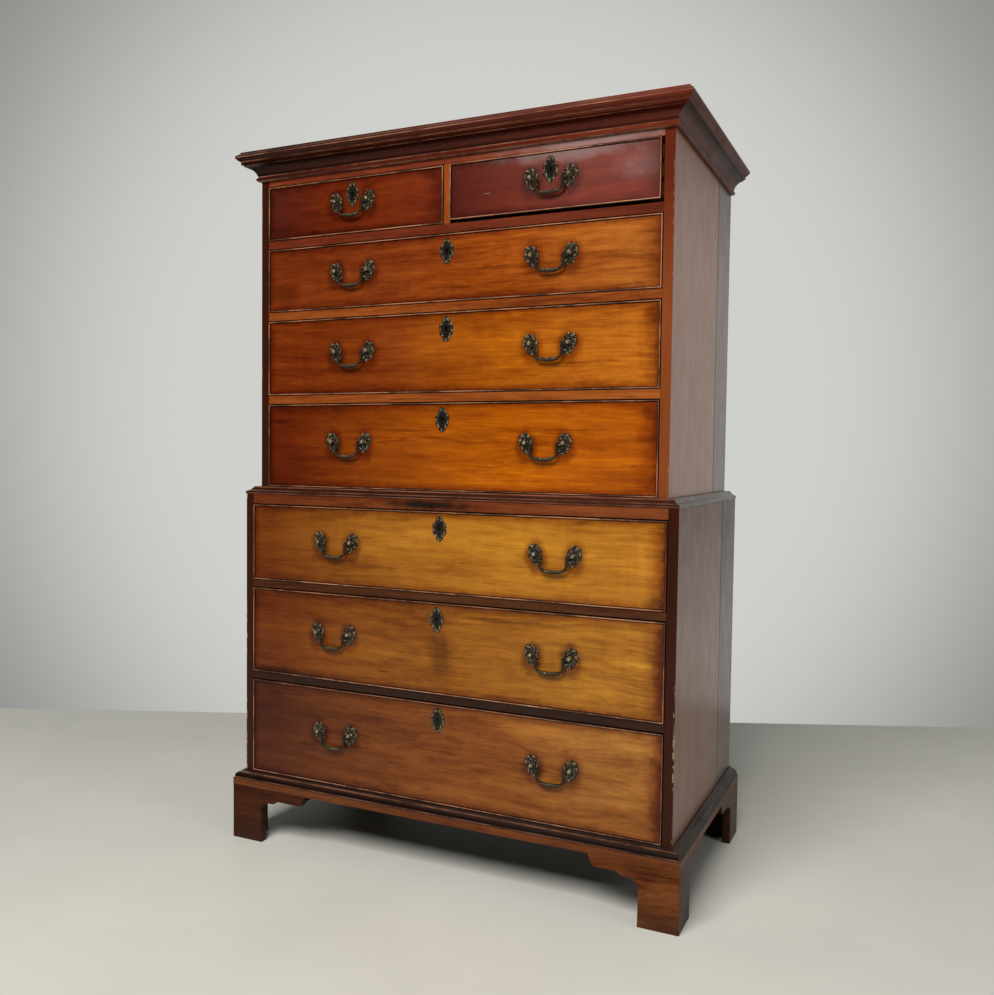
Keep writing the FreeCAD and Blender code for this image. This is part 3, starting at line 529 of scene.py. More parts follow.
class Front:
    """What the CAD front's box says about one drawer."""

    def __init__(self, name):
        low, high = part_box(f"{name}_drawer_front")
        self.name = name
        self.body = f"{name}_drawer"
        bead = sizes().bead
        self.left, self.right = low.x, high.x
        self.bottom, self.top = low.z, high.z
        self.nose = low.y
        self.face = low.y + bead
        self.inside = high.y
        self.middle = (low.x + high.x) / 2
        self.bails = [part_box(node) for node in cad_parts
                      if node.startswith(f"{name}_drawer_bail")]
        self.handles = [(low.x + high.x) / 2 for low, high in self.bails]
        self.brass = sum(self.handles) / len(self.handles)
        self.post_z = max(high.z for _, high in self.bails) - sizes().bail


# Kinds of mark in the polish and of painted shade and sheen, each as the colour it brings and how it
# is mixed in.
STAIN = ((0.16, 0.08, 0.05, 1), "MULTIPLY")
FADED = ((1.7, 1.9, 1.9, 1), "MULTIPLY")
# pale blooms and a scratch in the polish, and also a painted sheen
BLOOM_AND_SHEEN = ((0.30, 0.215, 0.20, 1), "MIX")
SHADE = ((0.006, 0.003, 0.002, 1), "MIX")
REDDENED = ((0.50, 0.24, 0.17, 1), "MULTIPLY")

# Marks as (kind, share of the width, share of the height, half width, half height,
# strength). Half sizes are in millimetres.
PATCHES = {
    "lower_third": [(STAIN, 0.545, 0.66, 34, 10, 0.45), (STAIN, 0.52, 0.45, 60, 12, 0.3),
                    (STAIN, 0.30, 0.75, 120, 14, 0.3), (FADED, 0.75, 0.86, 120, 12, 0.25),
                    (REDDENED, 0.995, 0.5, 24, 150, 0.9)],
    "lower_second": [(STAIN, 0.505, 0.45, 40, 62, 0.5), (STAIN, 0.66, 0.86, 150, 7, 0.45),
                     (STAIN, 0.50, 0.80, 120, 8, 0.35), (STAIN, 0.06, 0.03, 130, 9, 0.8),
                     (STAIN, 0.44, 0.45, 22, 12, 0.3), (REDDENED, 0.995, 0.5, 22, 150, 0.9)],
    "lower_first": [(STAIN, 0.98, 0.08, 30, 22, 0.6), (STAIN, 0.30, 0.28, 90, 9, 0.3),
                    (FADED, 0.96, 0.6, 22, 60, 0.3), (REDDENED, 1.0, 0.4, 18, 120, 0.7)],
    "upper_third": [(FADED, 0.75, 0.12, 190, 20, 0.35), (STAIN, 0.985, 0.86, 20, 24, 0.4)],
    "upper_second": [(STAIN, 0.62, 0.75, 70, 8, 0.3), (STAIN, 0.985, 0.88, 24, 22, 0.4)],
    "upper_first": [(STAIN, 0.05, 0.3, 50, 30, 0.35), (STAIN, 0.66, 0.45, 70, 7, 0.3)],
    "short_left": [(STAIN, 0.5, 0.04, 200, 12, 0.4), (STAIN, 0.93, 0.9, 30, 20, 0.4)],
    # along the top a painted sheen; the smaller pale marks are blooms and a scratch
    "short_right": [(BLOOM_AND_SHEEN, 0.58, 0.95, 170, 24, 0.42), (BLOOM_AND_SHEEN, 0.90, 0.60, 60, 34, 0.16),
                    (BLOOM_AND_SHEEN, 0.86, 0.60, 12, 8, 0.12), (BLOOM_AND_SHEEN, 0.91, 0.46, 8, 6, 0.12),
                    (BLOOM_AND_SHEEN, 0.19, 0.40, 12, 0.8, 0.7)],
}

# How the figure of each front runs: waviness, contrast, and streaks per metre.
FIGURES = {
    "lower_third": {"swirl": 0.022, "contrast": 0.85, "streaks": (3.6, 40.0)},
    "lower_second": {"swirl": 0.017, "contrast": 0.90, "streaks": (3.8, 44.0)},
    "lower_first": {"swirl": 0.012, "contrast": 0.75, "streaks": (4.6, 52.0)},
    "upper_third": {"swirl": 0.013, "contrast": 0.90, "streaks": (4.2, 48.0)},
    "upper_second": {"swirl": 0.012, "contrast": 0.90, "streaks": (4.4, 50.0)},
    "upper_first": {"swirl": 0.011, "contrast": 0.95, "streaks": (5.0, 54.0)},
    "short_left": {"swirl": 0.009, "contrast": 0.85, "streaks": (4.2, 52.0)},
    "short_right": {"swirl": 0.009, "contrast": 0.6, "streaks": (3.4, 52.0), "coat": 0.75,
                    "gloss": 0.26},
}


def edge_darkening(tree, hue, front, parts, wander):
    """Darkens the wood near the edges of a front, by an uneven distance from the nearest
    one; the right end counts as nearer than it is."""
    middle = (front.bottom + front.top) / 2
    to_left = add(tree, "ShaderNodeMath", {0: parts["X"], 1: front.left}, operation="SUBTRACT")
    to_right = add(tree, "ShaderNodeMath", {0: front.right, 1: parts["X"]}, operation="SUBTRACT")
    to_right = add(tree, "ShaderNodeMath", {0: to_right, 1: 0.42}, operation="MULTIPLY")
    to_end = add(tree, "ShaderNodeMath", {0: to_left, 1: to_right}, operation="MINIMUM")
    to_top = add(tree, "ShaderNodeMath", {
        0: (front.top - front.bottom) / 2, 1: distance(tree, parts["Z"], middle)},
        operation="SUBTRACT")
    edge = add(tree, "ShaderNodeMath", {0: to_end, 1: to_top}, operation="MINIMUM")
    edge = add(tree, "ShaderNodeMath", {0: wander, 1: -20 * MM, 2: edge},
               operation="MULTIPLY_ADD")
    hue = tinted(tree, smooth_range(tree, edge, -10 * MM, 14 * MM, 0.85, 0.0), hue,
                 (0.44, 0.25, 0.17, 1), "MULTIPLY")
    # a near-black line of painted shade in the crease beside the bead
    return tinted(tree, smooth_range(tree, edge, -9 * MM, -4.5 * MM, 0.4, 0.0), hue,
                  (0.030, 0.010, 0.005, 1))


def brass_grime_and_shade(tree, hue, front, parts, wander):
    """Darkens the wood round the posts of the handles with grime and with painted shade that
    reaches further below them: distances are folded about the middle of the brass and of
    each handle, so that all posts fall on one place."""
    across = distance(tree, parts["X"], front.brass)
    fold = distance(tree, across, abs(front.handles[0] - front.brass))
    fold = add(tree, "ShaderNodeMath", {0: fold, 1: sizes().post_pitch / 2},
               operation="SUBTRACT")
    lift = add(tree, "ShaderNodeMath", {0: parts["Z"], 1: front.post_z - 8 * MM},
               operation="SUBTRACT")
    lift = add(tree, "ShaderNodeMath", {0: lift, 1: 0.72}, operation="MULTIPLY")
    reach = add(tree, "ShaderNodeCombineXYZ", {"X": fold, "Z": lift})
    reach = add(tree, "ShaderNodeVectorMath", {0: reach}, operation="LENGTH")
    reach = add(tree, "ShaderNodeMath", {0: wander, 1: -24 * MM, 2: reach.outputs["Value"]},
                operation="MULTIPLY_ADD")
    # grime and painted shade round each post, centred below it
    halo = smooth_range(tree, reach, 4 * MM, 22 * MM, 0.85, 0.0)
    return tinted(tree, halo, hue, (0.42, 0.28, 0.24, 1), "MULTIPLY")


def front_material(front, index):
    """French-polished mahogany, faded unevenly, darker near its edges with painted shade beside
    its beads, and with grime and painted shade round its brass.
    """
    palette = bpy.context.scene.chest_fronts
    width = front.right - front.left
    height = front.top - front.bottom
    tones = [tuple(getattr(palette, f"{front.name}_{end}")) for end in ENDS]

    def base(tree):
        place = add(tree, "ShaderNodeTexCoord").outputs["Object"]
        x = add(tree, "ShaderNodeSeparateXYZ", {"Vector": place}).outputs["X"]
        share = add(tree, "ShaderNodeMapRange", {
            "Value": x, "From Min": front.left, "From Max": front.right})
        return ramp(tree, share, list(zip((0.06, 0.36, 0.64, 0.93), tones)))

    def marks(tree, hue):
        place = add(tree, "ShaderNodeTexCoord").outputs["Object"]
        parts = add(tree, "ShaderNodeSeparateXYZ", {"Vector": place}).outputs
        wander = add(tree, "ShaderNodeTexNoise", {
            "Vector": place, "Scale": 34.0, "Detail": 5.0, "Roughness": 0.65})
        hue = edge_darkening(tree, hue, front, parts, wander)
        hue = brass_grime_and_shade(tree, hue, front, parts, wander)
        # the dark of the keyhole
        hue = marked(tree, hue, SHADE, (front.brass, 0.0, front.top - 36 * MM),
                     (7 * MM, 14 * MM), 1.0)
        for kind, x, z, half_x, half_z, strength in PATCHES[front.name]:
            centre = (front.left + width * x, 0.0, front.bottom + height * z)
            hue = marked(tree, hue, kind, centre, (half_x * MM, half_z * MM), strength)
        return hue

    return wood(f"mahogany_front_{front.name}", base, axis=0, ripple=0.10, marks=marks,
                shift=2.3 * index + 1.0, **FIGURES[front.name])


def tail_spans(start, end):
    """Middle of each dovetail between two heights, with the half width of its root."""
    count = max(2, round((end - start) / TAIL_SPACING))
    spacing = (end - start) / count
    return [(start + spacing * (i + 0.5), spacing * TAIL_ROOT) for i in range(count)]


def prism(work, outline_yz, x0, x1):
    """A closed prism along X through (Y, Z) points."""
    loft(work, [(x0, y, z) for y, z in outline_yz], [(x1, y, z) for y, z in outline_yz])


def boolean(target, cutter, operation):
    """Applies an exact boolean and returns the plain mesh."""
    change = target.modifiers.new("cut", "BOOLEAN")
    change.operation = operation
    change.solver = "EXACT"
    change.object = cutter
    graph = bpy.context.evaluated_depsgraph_get()
    mesh = bpy.data.meshes.new_from_object(target.evaluated_get(graph))
    target.modifiers.remove(change)
    return mesh


def loose(name, work):
    """Puts a worked mesh in the scene as an object that is used and then removed."""
    bmesh.ops.recalc_face_normals(work, faces=list(work.faces))
    mesh = bpy.data.meshes.new(name)
    work.to_mesh(mesh)
    work.free()
    return linked(name, mesh)


def build_front(front, material):
    """The board of a drawer front, with the sockets for its sides and its keyhole."""
    bead = sizes().bead
    gap = sizes().bead_gap
    rear = front.face + FRONT_LAP
    shells = Shells()
    shells.board((front.left + bead + gap, front.face, front.bottom + bead + gap),
                 (front.right - bead - gap, rear + OVERLAP, front.top - bead - gap), 0,
                 FRONT_EDGE)
    face_mesh = bpy.data.meshes.new("face")
    face_mesh.from_pydata(shells.points, [], shells.faces)
    face = linked("face", face_mesh)
    work = bmesh.new()
    prism(work, [(rear, front.bottom), (front.inside, front.bottom),
                 (front.inside, front.top - bead), (rear, front.top - bead)],
          front.left, front.right)
    back = loose("back", work)
    board = linked("board", boolean(back, face, "UNION"))
    # sockets of the lapped dovetails
    work = bmesh.new()
    case_top = front.top - bead - CASE_DOWN
    flare = (front.inside - rear) / TAIL_SLOPE
    root = front.inside + OVERLAP
    for end in (front.left, front.right):
        for middle, narrow in tail_spans(front.bottom + bead, case_top):
            prism(work, [(root, middle - narrow), (rear, middle - narrow - flare),
                         (rear, middle + narrow + flare), (root, middle + narrow)],
                  end - DRAWER_SIDE, end + DRAWER_SIDE)
    # the keyhole: a slot below and a round that is open for 60 degrees where the slot starts
    key_z = front.top - KEYHOLE_DOWN
    key = [(front.brass + side * KEYHOLE_SLOT / 2, key_z - KEYHOLE_LENGTH) for side in (-1, 1)]
    around = [math.radians(-60 + 300 * i / 14) for i in range(15)]
    key += [(front.brass + KEYHOLE_R * math.cos(a), key_z + KEYHOLE_R * math.sin(a))
            for a in around]
    loft(work, [(x, front.face - 2 * OVERLAP, z) for x, z in key],
         [(x, front.inside + 2 * OVERLAP, z) for x, z in key])
    cutter = loose("cutter", work)
    mesh = boolean(board, cutter, "DIFFERENCE")
    for item in (face, back, board, cutter):
        bpy.data.objects.remove(item)
    return finished(f"{front.name}_front_board", mesh, front.body, material,
                    [f"{front.name}_drawer_front"])


def build_beads(front, material):
    """Four mitred cock beads, round on their noses, proud of the front."""
    bead = sizes().bead
    back = front.face + FRONT_LAP
    corners = [((x, z), (math.copysign(1, front.middle - x), up)) for x, z, up in (
        (front.left, front.bottom, 1), (front.right, front.bottom, 1),
        (front.right, front.top, -1), (front.left, front.top, -1))]
    nose = [(0.0, front.nose + bead / 2)] + arc(
        (0.0, front.nose + bead / 2), (bead / 2, front.nose), (bead, front.nose + bead / 2), 8)
    section = [(0.0, back)] + nose + [(bead, back)]
    shells = Shells(11)

    def place(corner, step):
        (x, z), (dx, dz) = corner
        return (x + dx * step[0], step[1], z + dz * step[0])

    mitred(shells, corners, True, [section], place)
    cap = Shells(12)
    cap.board((front.left, back, front.top - bead), (front.right, front.inside, front.top), 0,
              FINE_EDGE)
    shells.add(cap.points, cap.faces, cap.grain)
    return shells.piece(f"{front.name}_cock_beads", front.body, material,
                        [f"{front.name}_drawer_front"], "mahogany_front", smooth=40)


def bead_material(front):
    """Mahogany bead with a painted highlight, patchy along the crest of its nose."""
    def crest(tree):
        place = add(tree, "ShaderNodeTexCoord").outputs["Object"]
        patchy = add(tree, "ShaderNodeTexNoise", {
            "Vector": place, "Scale": 9.0, "Detail": 5.0, "Roughness": 0.7})
        # painted highlight: patches of the crest are paler
        rubbed = smooth_range(tree, patchy, 0.38, 0.60, 0.12, 1.0)
        nose = along_axis(tree, 1, front.nose + 0.1 * MM, front.nose + 0.9 * MM, 1.0, 0.0)
        high = add(tree, "ShaderNodeMath", {0: rubbed, 1: nose}, operation="MULTIPLY")
        return tinted(tree, high, tuple(colours().bead), tuple(colours().bead_crest_highlight))

    return wood(f"mahogany_beads_{front.name}", crest, contrast=0.8, coat=0.3, level=0.3,
                gloss=0.26)


class CHEST_OT_fronts(bpy.types.Operator):
    """Builds the eight drawer fronts with their cock beads"""

    bl_idname = "chest.fronts"
    bl_label = "Drawer fronts"

    def execute(self, context):
        for index, name in enumerate(DRAWERS):
            front = Front(name)
            build_front(front, front_material(front, index))
            build_beads(front, bead_material(front))
        return {"FINISHED"}


# ---- carcasses ----

# A dark, dry stain left of the middle of the lower frieze, and a painted sheen at the right
# of the upper one, as (kind, centre, half sizes, strength).
DRY_STAIN = ((0.012, 0.007, 0.005, 1), "MIX")
FRIEZE_MARKS = {
    "lower": (DRY_STAIN, (-35 * MM, 0.0, 846 * MM), (130 * MM, 12.5 * MM), 1.0),
    "upper": (BLOOM_AND_SHEEN, (330 * MM, 0.0, 1615 * MM), (190 * MM, 22 * MM), 0.50),
}
CLEAR_OVER = 2.4 * MM           # gap between a drawer front and the rail over it
CLEAR_UNDER = 1.0 * MM          # gap between a drawer front and the rail under it
CLEAR_SIDE = 1.2 * MM           # gap between a short drawer's front and the divider
RAIL_DEPTH = 60.0 * MM
FRIEZE_DEPTH = 22.0 * MM
BACK_BOARDS = 5
BACK_LAP = 8.0 * MM
SHADE_REACH = 300.0 * MM        # from a side's top down to where its shade ends


def worn_edge(x, front_y, amount):
    """Knocks and rubbed places along one upright front edge of a carcass."""
    def marks(tree, hue):
        place = add(tree, "ShaderNodeTexCoord").outputs["Object"]
        away = add(tree, "ShaderNodeVectorMath", {0: place, 1: (x, front_y, 0.0)},
                   operation="SUBTRACT")
        away = add(tree, "ShaderNodeVectorMath", {0: away, 1: (1.0, 1.0, 0.0)},
                   operation="MULTIPLY")
        away = add(tree, "ShaderNodeVectorMath", {0: away}, operation="LENGTH")
        chips = add(tree, "ShaderNodeTexNoise", {
            "Vector": place, "Scale": 75.0, "Detail": 4.0, "Roughness": 0.7})
        places = add(tree, "ShaderNodeTexNoise", {
            "Vector": place, "Scale": 9.0, "Detail": 1.0})
        near = smooth_range(tree, away.outputs["Value"], 1.4 * MM, 4.2 * MM, amount, 0.0)
        low = along_axis(tree, 2, 160 * MM, 450 * MM, 0.20, 0.0)
        places = add(tree, "ShaderNodeMath", {0: places, 1: low}, operation="ADD")
        chipped = smooth_range(tree, chips, 0.47, 0.56, 0.0, near)
        chipped = smooth_range(tree, places, 0.53, 0.62, 0.0, chipped)
        return tinted(tree, chipped, hue, (0.40, 0.24, 0.15, 1))
    return marks


def side_material(case, end, low, high, joint):
    """Mahogany of one side: its front edge, a flank whose polish mirrors the room, a rear
    board painted greyer as a sheen behind an open joint, and painted shade near the top."""
    lower = case == "lower"
    bright = not lower and end == "right"
    panel = colours().panel_low if lower else colours().panel
    rear = colours().panel_low_rear_with_sheen if lower else colours().panel_rear_with_sheen
    edge_x = high.x if end == "right" else -high.x

    def crack(tree):
        ahead = along_axis(tree, 1, joint - 4.5 * MM, joint - 2.5 * MM, 0.0, 0.85)
        past = along_axis(tree, 1, joint + 0.8 * MM, joint + 2.8 * MM, 1.0, 0.0)
        return add(tree, "ShaderNodeMath", {0: ahead, 1: past}, operation="MULTIPLY")

    def base(tree):
        # the rear board is greyer by a painted sheen, and shade is painted near the top
        flank = between(tree, 1, joint - 0.5 * MM, joint + 0.5 * MM, panel, rear)
        shade = along_axis(tree, 2, high.z - SHADE_REACH, high.z, 0.0, 0.62)
        flank = tinted(tree, shade, flank, (0.45, 0.42, 0.42, 1), "MULTIPLY")
        flank = tinted(tree, crack(tree), flank, (0.24, 0.20, 0.20, 1), "MULTIPLY")
        stile = between(tree, 2, 0.5 * (low.z + high.z), high.z - SHADE_REACH / 2,
                        colours().stile_bright if bright else colours().stile,
                        colours().stile_top if bright else colours().stile)
        side_on = along_axis(tree, 1, low.y + 0.4 * MM, low.y + 1.4 * MM, 0.0, 1.0)
        return tinted(tree, side_on, stile, flank)

    def polish(front, flank):
        """Weight of the polish on the front edge and on the flank, less in shade and crack."""
        def weight(tree):
            depth = along_axis(tree, 1, low.y + 0.4 * MM, low.y + 2.0 * MM, front, flank)
            under = along_axis(tree, 2, high.z - SHADE_REACH, high.z, 1.0, 0.45)
            whole = add(tree, "ShaderNodeMath", {0: 1.0, 1: crack(tree)}, operation="SUBTRACT")
            for share in (under, whole):
                depth = add(tree, "ShaderNodeMath", {0: depth, 1: share}, operation="MULTIPLY")
            return depth
        return weight

    return wood(f"mahogany_{case}_{end}_side", base, contrast=0.22,
                coat=polish(0.05, 0.42 if lower else 0.52), level=polish(0.12, 0.28),
                gloss=0.40, uneven=0.02, streaks=(1.4, 90.0),
                marks=worn_edge(edge_x, low.y, 0.9 if lower else 0.25))


class CHEST_OT_carcasses(bpy.types.Operator):
    """Builds the sides, rails, divider and backs of both carcasses"""

    bl_idname = "chest.carcasses"
    bl_label = "Carcasses"

    def execute(self, context):
        pine = wood("aged_pine_boards", colours().pine, coat=0.0, gloss=0.7)
        for index, (case, body) in enumerate(CASES.items()):
            low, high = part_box(f"{case}_side_right")
            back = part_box(f"{case}_back_boards")
            for sign, end in ((-1, "left"), (1, "right")):
                self.side(case, body, index, sign, end, low, high, back)
            self.rails(case, body, low.x, low.y, index)
            self.back(case, body, pine, *back)
        return {"FINISHED"}

    @staticmethod
    def side(case, body, index, sign, end, low, high, back):
        """A side glued up from two boards, the rear one with a rebate for the back."""
        arris = sizes().arris
        joint = high.y - getattr(sizes(), f"{case}_strip")
        material = side_material(case, end, low, high, joint)
        shells = Shells(index * 2 + sign)
        inner = sign * low.x
        outer = sign * high.x
        left, right = sorted((inner, outer))
        shells.board((left, low.y, low.z), (right, joint, high.z), 2, arris)
        back_low, back_high = back
        rebate = sign * back_high.x
        plan = [(outer, joint), (outer, high.y), (rebate, high.y), (rebate, back_low.y),
                (inner, back_low.y), (inner, joint)]
        work = bmesh.new()
        loft(work, [(x, y, low.z) for x, y in plan], [(x, y, high.z) for x, y in plan])
        bmesh.ops.bevel(work, geom=list(work.edges), offset=arris, segments=2, profile=0.5,
                        affect="EDGES")
        shells.take(work, 2)
        shells.piece(f"{case}_carcass_side_{end}", body, material, [f"{case}_side_{end}"],
                     "mahogany_case")

    def rails(self, case, body, inner, front_y, index):
        """Rails between the drawers, the rail above them, and the upright divider."""
        low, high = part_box(f"{case}_drawer_rails")
        hues = [getattr(colours(), f"{case}_{part}") for part in ("rail", "rail_top")]
        material = wood(f"mahogany_{case}_rails", lambda tree: between(
            tree, 2, low.z + 0.40 * (high.z - low.z), low.z + 0.50 * (high.z - low.z), *hues),
            coat=0.1, shift=index)
        frieze = wood(f"mahogany_{case}_frieze", getattr(colours(), f"{case}_frieze"),
                      coat=0.1 if case == "lower" else 1.0, gloss=0.28, shift=3.0 + index,
                      marks=lambda tree, hue: marked(tree, hue, *FRIEZE_MARKS[case]))
        names = LOWER if case == "lower" else UPPER + ("short_left",)
        boxes = [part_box(f"{name}_drawer_front") for name in names]
        shells = Shells(40 + index)
        for below, above in zip(boxes, boxes[1:]):
            shells.board((-inner, front_y, below[1].z + CLEAR_OVER),
                         (inner, front_y + RAIL_DEPTH, above[0].z - CLEAR_UNDER), 0,
                         RAIL_EDGE)
        shells.piece(f"{case}_rails", body, material, [f"{case}_drawer_rails"],
                     "mahogany_case")
        ceiling = boxes[-1][1].z + CLEAR_OVER
        shells = Shells(50 + index)
        shells.board((-inner, front_y, ceiling), (inner, front_y + FRIEZE_DEPTH, high.z), 0,
                     RAIL_EDGE)
        shells.piece(f"{case}_frieze", body, frieze, [f"{case}_drawer_rails"],
                     "mahogany_case")
        if case == "upper":
            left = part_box("short_left_drawer_front")[1].x + CLEAR_SIDE
            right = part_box("short_right_drawer_front")[0].x - CLEAR_SIDE
            shells = Shells(55)
            shells.board((left, front_y, boxes[-1][0].z - CLEAR_UNDER),
                         (right, front_y + RAIL_DEPTH, ceiling), 2, RAIL_EDGE)
            shells.piece("short_drawer_divider", body,
                         wood("mahogany_divider", colours().divider, coat=0.2),
                         ["upper_drawer_rails"], "mahogany_case")

    def back(self, case, body, material, low, high):
        """Upright boards with half-lapped edges."""
        width = (high.x - low.x) / BACK_BOARDS
        middle = (low.y + high.y) / 2
        shells = Shells(60)
        for i in range(BACK_BOARDS):
            left = low.x + i * width
            right = left + width
            under = left + (0 if i == 0 else BACK_LAP)
            over = right + (0 if i == BACK_BOARDS - 1 else BACK_LAP)
            shells.board((under, low.y, low.z), (over, middle, high.z), 2, FRONT_EDGE)
            shells.board((left, middle, low.z), (right, high.y, high.z), 2, BOARD_EDGE)
        shells.piece(f"{case}_back", body, material, [f"{case}_back_boards"], "pine")


# ---- mouldings ----

# Section of the cornice, from its foot up, as shares of its reach and of its height.
CORNICE = [(0.0, 0.0), (0.1, 0.0), ((0.215, 0.073), (0.13, 0.146)), (0.15, 0.192),
           ((0.315, 0.39), (0.61, 0.497)), (0.66, 0.497), (0.66, 0.543), (0.77, 0.549),
           (0.77, 0.65), (0.8, 0.655), ((0.91, 0.71), (1.0, 0.785)), (1.0, 0.812),
           ((0.965, 0.865), (0.88, 0.893)), (0.87, 0.925), (0.8, 0.937), (0.79, 1.0),
           (0.0, 1.0)]
WAIST_BACK = 14.0 * MM          # from the lower case's face in to the waist's top edge
WAIST_CLEAR = 1.0 * MM          # gap between the waist moulding and the upper case
BAND_HEIGHT = 16.5 * MM         # flat band of the base moulding, over the feet


def placed(steps, z, out, up):
    """A section drawn at unit size, brought to its size and height."""
    return [tuple((a * out, z + b * up) for a, b in step) if isinstance(step[0], tuple)
            else (step[0] * out, z + step[1] * up) for step in steps]


def u_corners(half, front, back):
    """Plan of a moulding that goes round three sides."""
    return [((-half, back), (-1, 0)), ((-half, front), (-1, -1)),
            ((half, front), (1, -1)), ((half, back), (1, 0))]


def in_plan(corner, step):
    """Puts a step (outwards, height) of a section at a corner of the plan."""
    (x, y), (dx, dy) = corner
    return (x + dx * step[0], y + dy * step[0], step[1])


def near_height(tree, line, near, far, most):
    """Share that falls from most to nothing between two distances from a height."""
    place = add(tree, "ShaderNodeTexCoord").outputs["Object"]
    height = add(tree, "ShaderNodeSeparateXYZ", {"Vector": place}).outputs["Z"]
    return smooth_range(tree, distance(tree, height, line), near, far, most, 0.0)


class CHEST_OT_mouldings(bpy.types.Operator):
    """Builds the cornice, the waist moulding and the base moulding"""

    bl_idname = "chest.mouldings"
    bl_label = "Mouldings"

    def execute(self, context):
        soft = sizes().soft
        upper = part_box("upper_side_right")
        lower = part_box("lower_side_right")
        low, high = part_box("cornice")
        out = high.x - upper[1].x
        rise = high.z - low.z
        section = outline(placed(CORNICE, low.z, out, rise), soft, 8)
        lines = [low.z + rise * share for share in (0.01, 0.17, 0.52, 0.65, 0.80, 0.93)]
        hollows = [low.z + rise * share for share in (0.23, 0.47, 0.58, 0.87)]
        self.lengths("cornice", "upper_chest", u_corners(upper[1].x, upper[0].y, high.y),
                     [section] * 3, lambda tree: between(
                         tree, 0, -upper[1].x, upper[1].x, colours().cornice_left,
                         colours().cornice), lines, 0.75, hollows)

        low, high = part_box("waist_moulding")
        rise = high.z - low.z
        tip = high.x - lower[1].x
        back = WAIST_BACK

        def rim(inner):
            return outline([
                (inner, low.z), (0.0, low.z), (tip / 2, low.z + rise * 0.03),
                ((tip, low.z + rise * 0.2), (-back * 0.1, low.z + rise * 0.43)),
                (-back * 0.22, low.z + rise * 0.43), (-back * 0.22, low.z + rise * 0.52),
                ((-back * 0.55, low.z + rise * 0.6), (-back * 0.72, low.z + rise * 0.82)),
                (-back * 0.86, low.z + rise * 0.82), (-back, high.z), (inner, high.z)],
                soft, 8)

        returns = rim(upper[1].x - lower[1].x + WAIST_CLEAR)
        front = rim(lower[0].y - upper[0].y + WAIST_CLEAR)
        lines = [low.z + rise * share for share in (0.16, 0.47, 0.92)]
        hollows = [low.z + rise * share for share in (0.34, 0.66)]
        self.lengths("waist_moulding", "lower_chest", u_corners(lower[1].x, lower[0].y, high.y),
                     [returns, front, returns], colours().waist, lines, 0.4, hollows)

        low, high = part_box("base_moulding")
        out = high.x - lower[1].x
        foot = low.z
        band = foot + BAND_HEIGHT
        rise = high.z - band
        section = outline([
            (0.0, foot), (out, foot), (out, band), (out * 0.885, band + rise * 0.06),
            (out * 0.885, band + rise * 0.13),
            ((out * 0.79, band + rise * 0.5), (out * 0.5, band + rise * 0.72)),
            (out * 0.46, band + rise * 0.72), (out * 0.45, band + rise * 0.79),
            ((out * 0.27, band + rise * 0.86), (out * 0.16, high.z)), (0.0, high.z)], soft, 8)
        self.lengths("base_moulding", "lower_chest", u_corners(lower[1].x, lower[0].y, high.y),
                     [section] * 3, lambda tree: between(
                         tree, 2, band - 0.6 * MM, band + 0.6 * MM, colours().band,
                         colours().base), [band + rise * share for share in (0.1, 0.74)],
                     0.45, [band + rise * 0.2])
        return {"FINISHED"}

    @staticmethod
    def lengths(node, body, corners, sections, base, lines, wear, hollows):
        """The polished front length of a moulding and its duller returns, mitred together, with the
        returns' colour darkened as painted shade; lines are the heights of the arrises along which
        pale highlights are painted, and hollows those where shade is painted."""
        # painted highlights: pale lines along the arrises, patchy along their length
        def rubbed(tree, hue, wear=wear):
            place = add(tree, "ShaderNodeTexCoord").outputs["Object"]
            patchy = add(tree, "ShaderNodeTexNoise", {
                "Vector": place, "Scale": 7.0, "Detail": 4.0, "Roughness": 0.7})
            worn = smooth_range(tree, patchy, 0.36, 0.62, 0.15, 1.0)
            for line in lines:
                near = near_height(tree, line, 0.5 * MM, 1.6 * MM, wear)
                amount = add(tree, "ShaderNodeMath", {0: near, 1: worn}, operation="MULTIPLY")
                hue = tinted(tree, amount, hue, tuple(colours().arris))
            return hue

        # painted shade along the hollows of the section
        def shaded(tree, hue):
            for hollow in hollows:
                near = near_height(tree, hollow, 0.8 * MM, 4.8 * MM, 0.85)
                hue = tinted(tree, near, hue, (0.25, 0.18, 0.15, 1), "MULTIPLY")
            return hue

        # painted shade: the returns take the front's colour, darkened
        def dimmer(tree):
            hue = base(tree) if callable(base) else tuple(base)
            return tinted(tree, 1.0, hue, (0.66, 0.66, 0.70, 1), "MULTIPLY")

        def on_top(tree):
            facing = add(tree, "ShaderNodeNewGeometry").outputs["Normal"]
            up = add(tree, "ShaderNodeSeparateXYZ", {"Vector": facing}).outputs["Z"]
            return smooth_range(tree, up, 0.80, 0.97, 0.06, 0.85)

        polished = wood(f"polished_mahogany_{node}", base, coat=on_top, level=0.11, gloss=0.26,
                        streaks=(2.0, 120.0),
                        marks=lambda tree, hue: rubbed(tree, shaded(tree, hue)))
        shine = 0.5 if node == "waist_moulding" else 0.0
        dull = wood(f"dull_mahogany_{node}_returns", dimmer, coat=shine, level=0.18, gloss=0.42,
                    streaks=(2.0, 120.0),
                    marks=lambda tree, hue: rubbed(tree, shaded(tree, hue), 0.3 * wear))
        for i, (name, look) in enumerate((("left_return", dull), ("front", polished),
                                          ("right_return", dull))):
            shells = Shells(71 + i)
            mitred(shells, corners[i:i + 2], False, [sections[i]], in_plan)
            shells.piece(f"{node}_{name}", body, look, [node], "mahogany_moulding")


# ---- feet ----

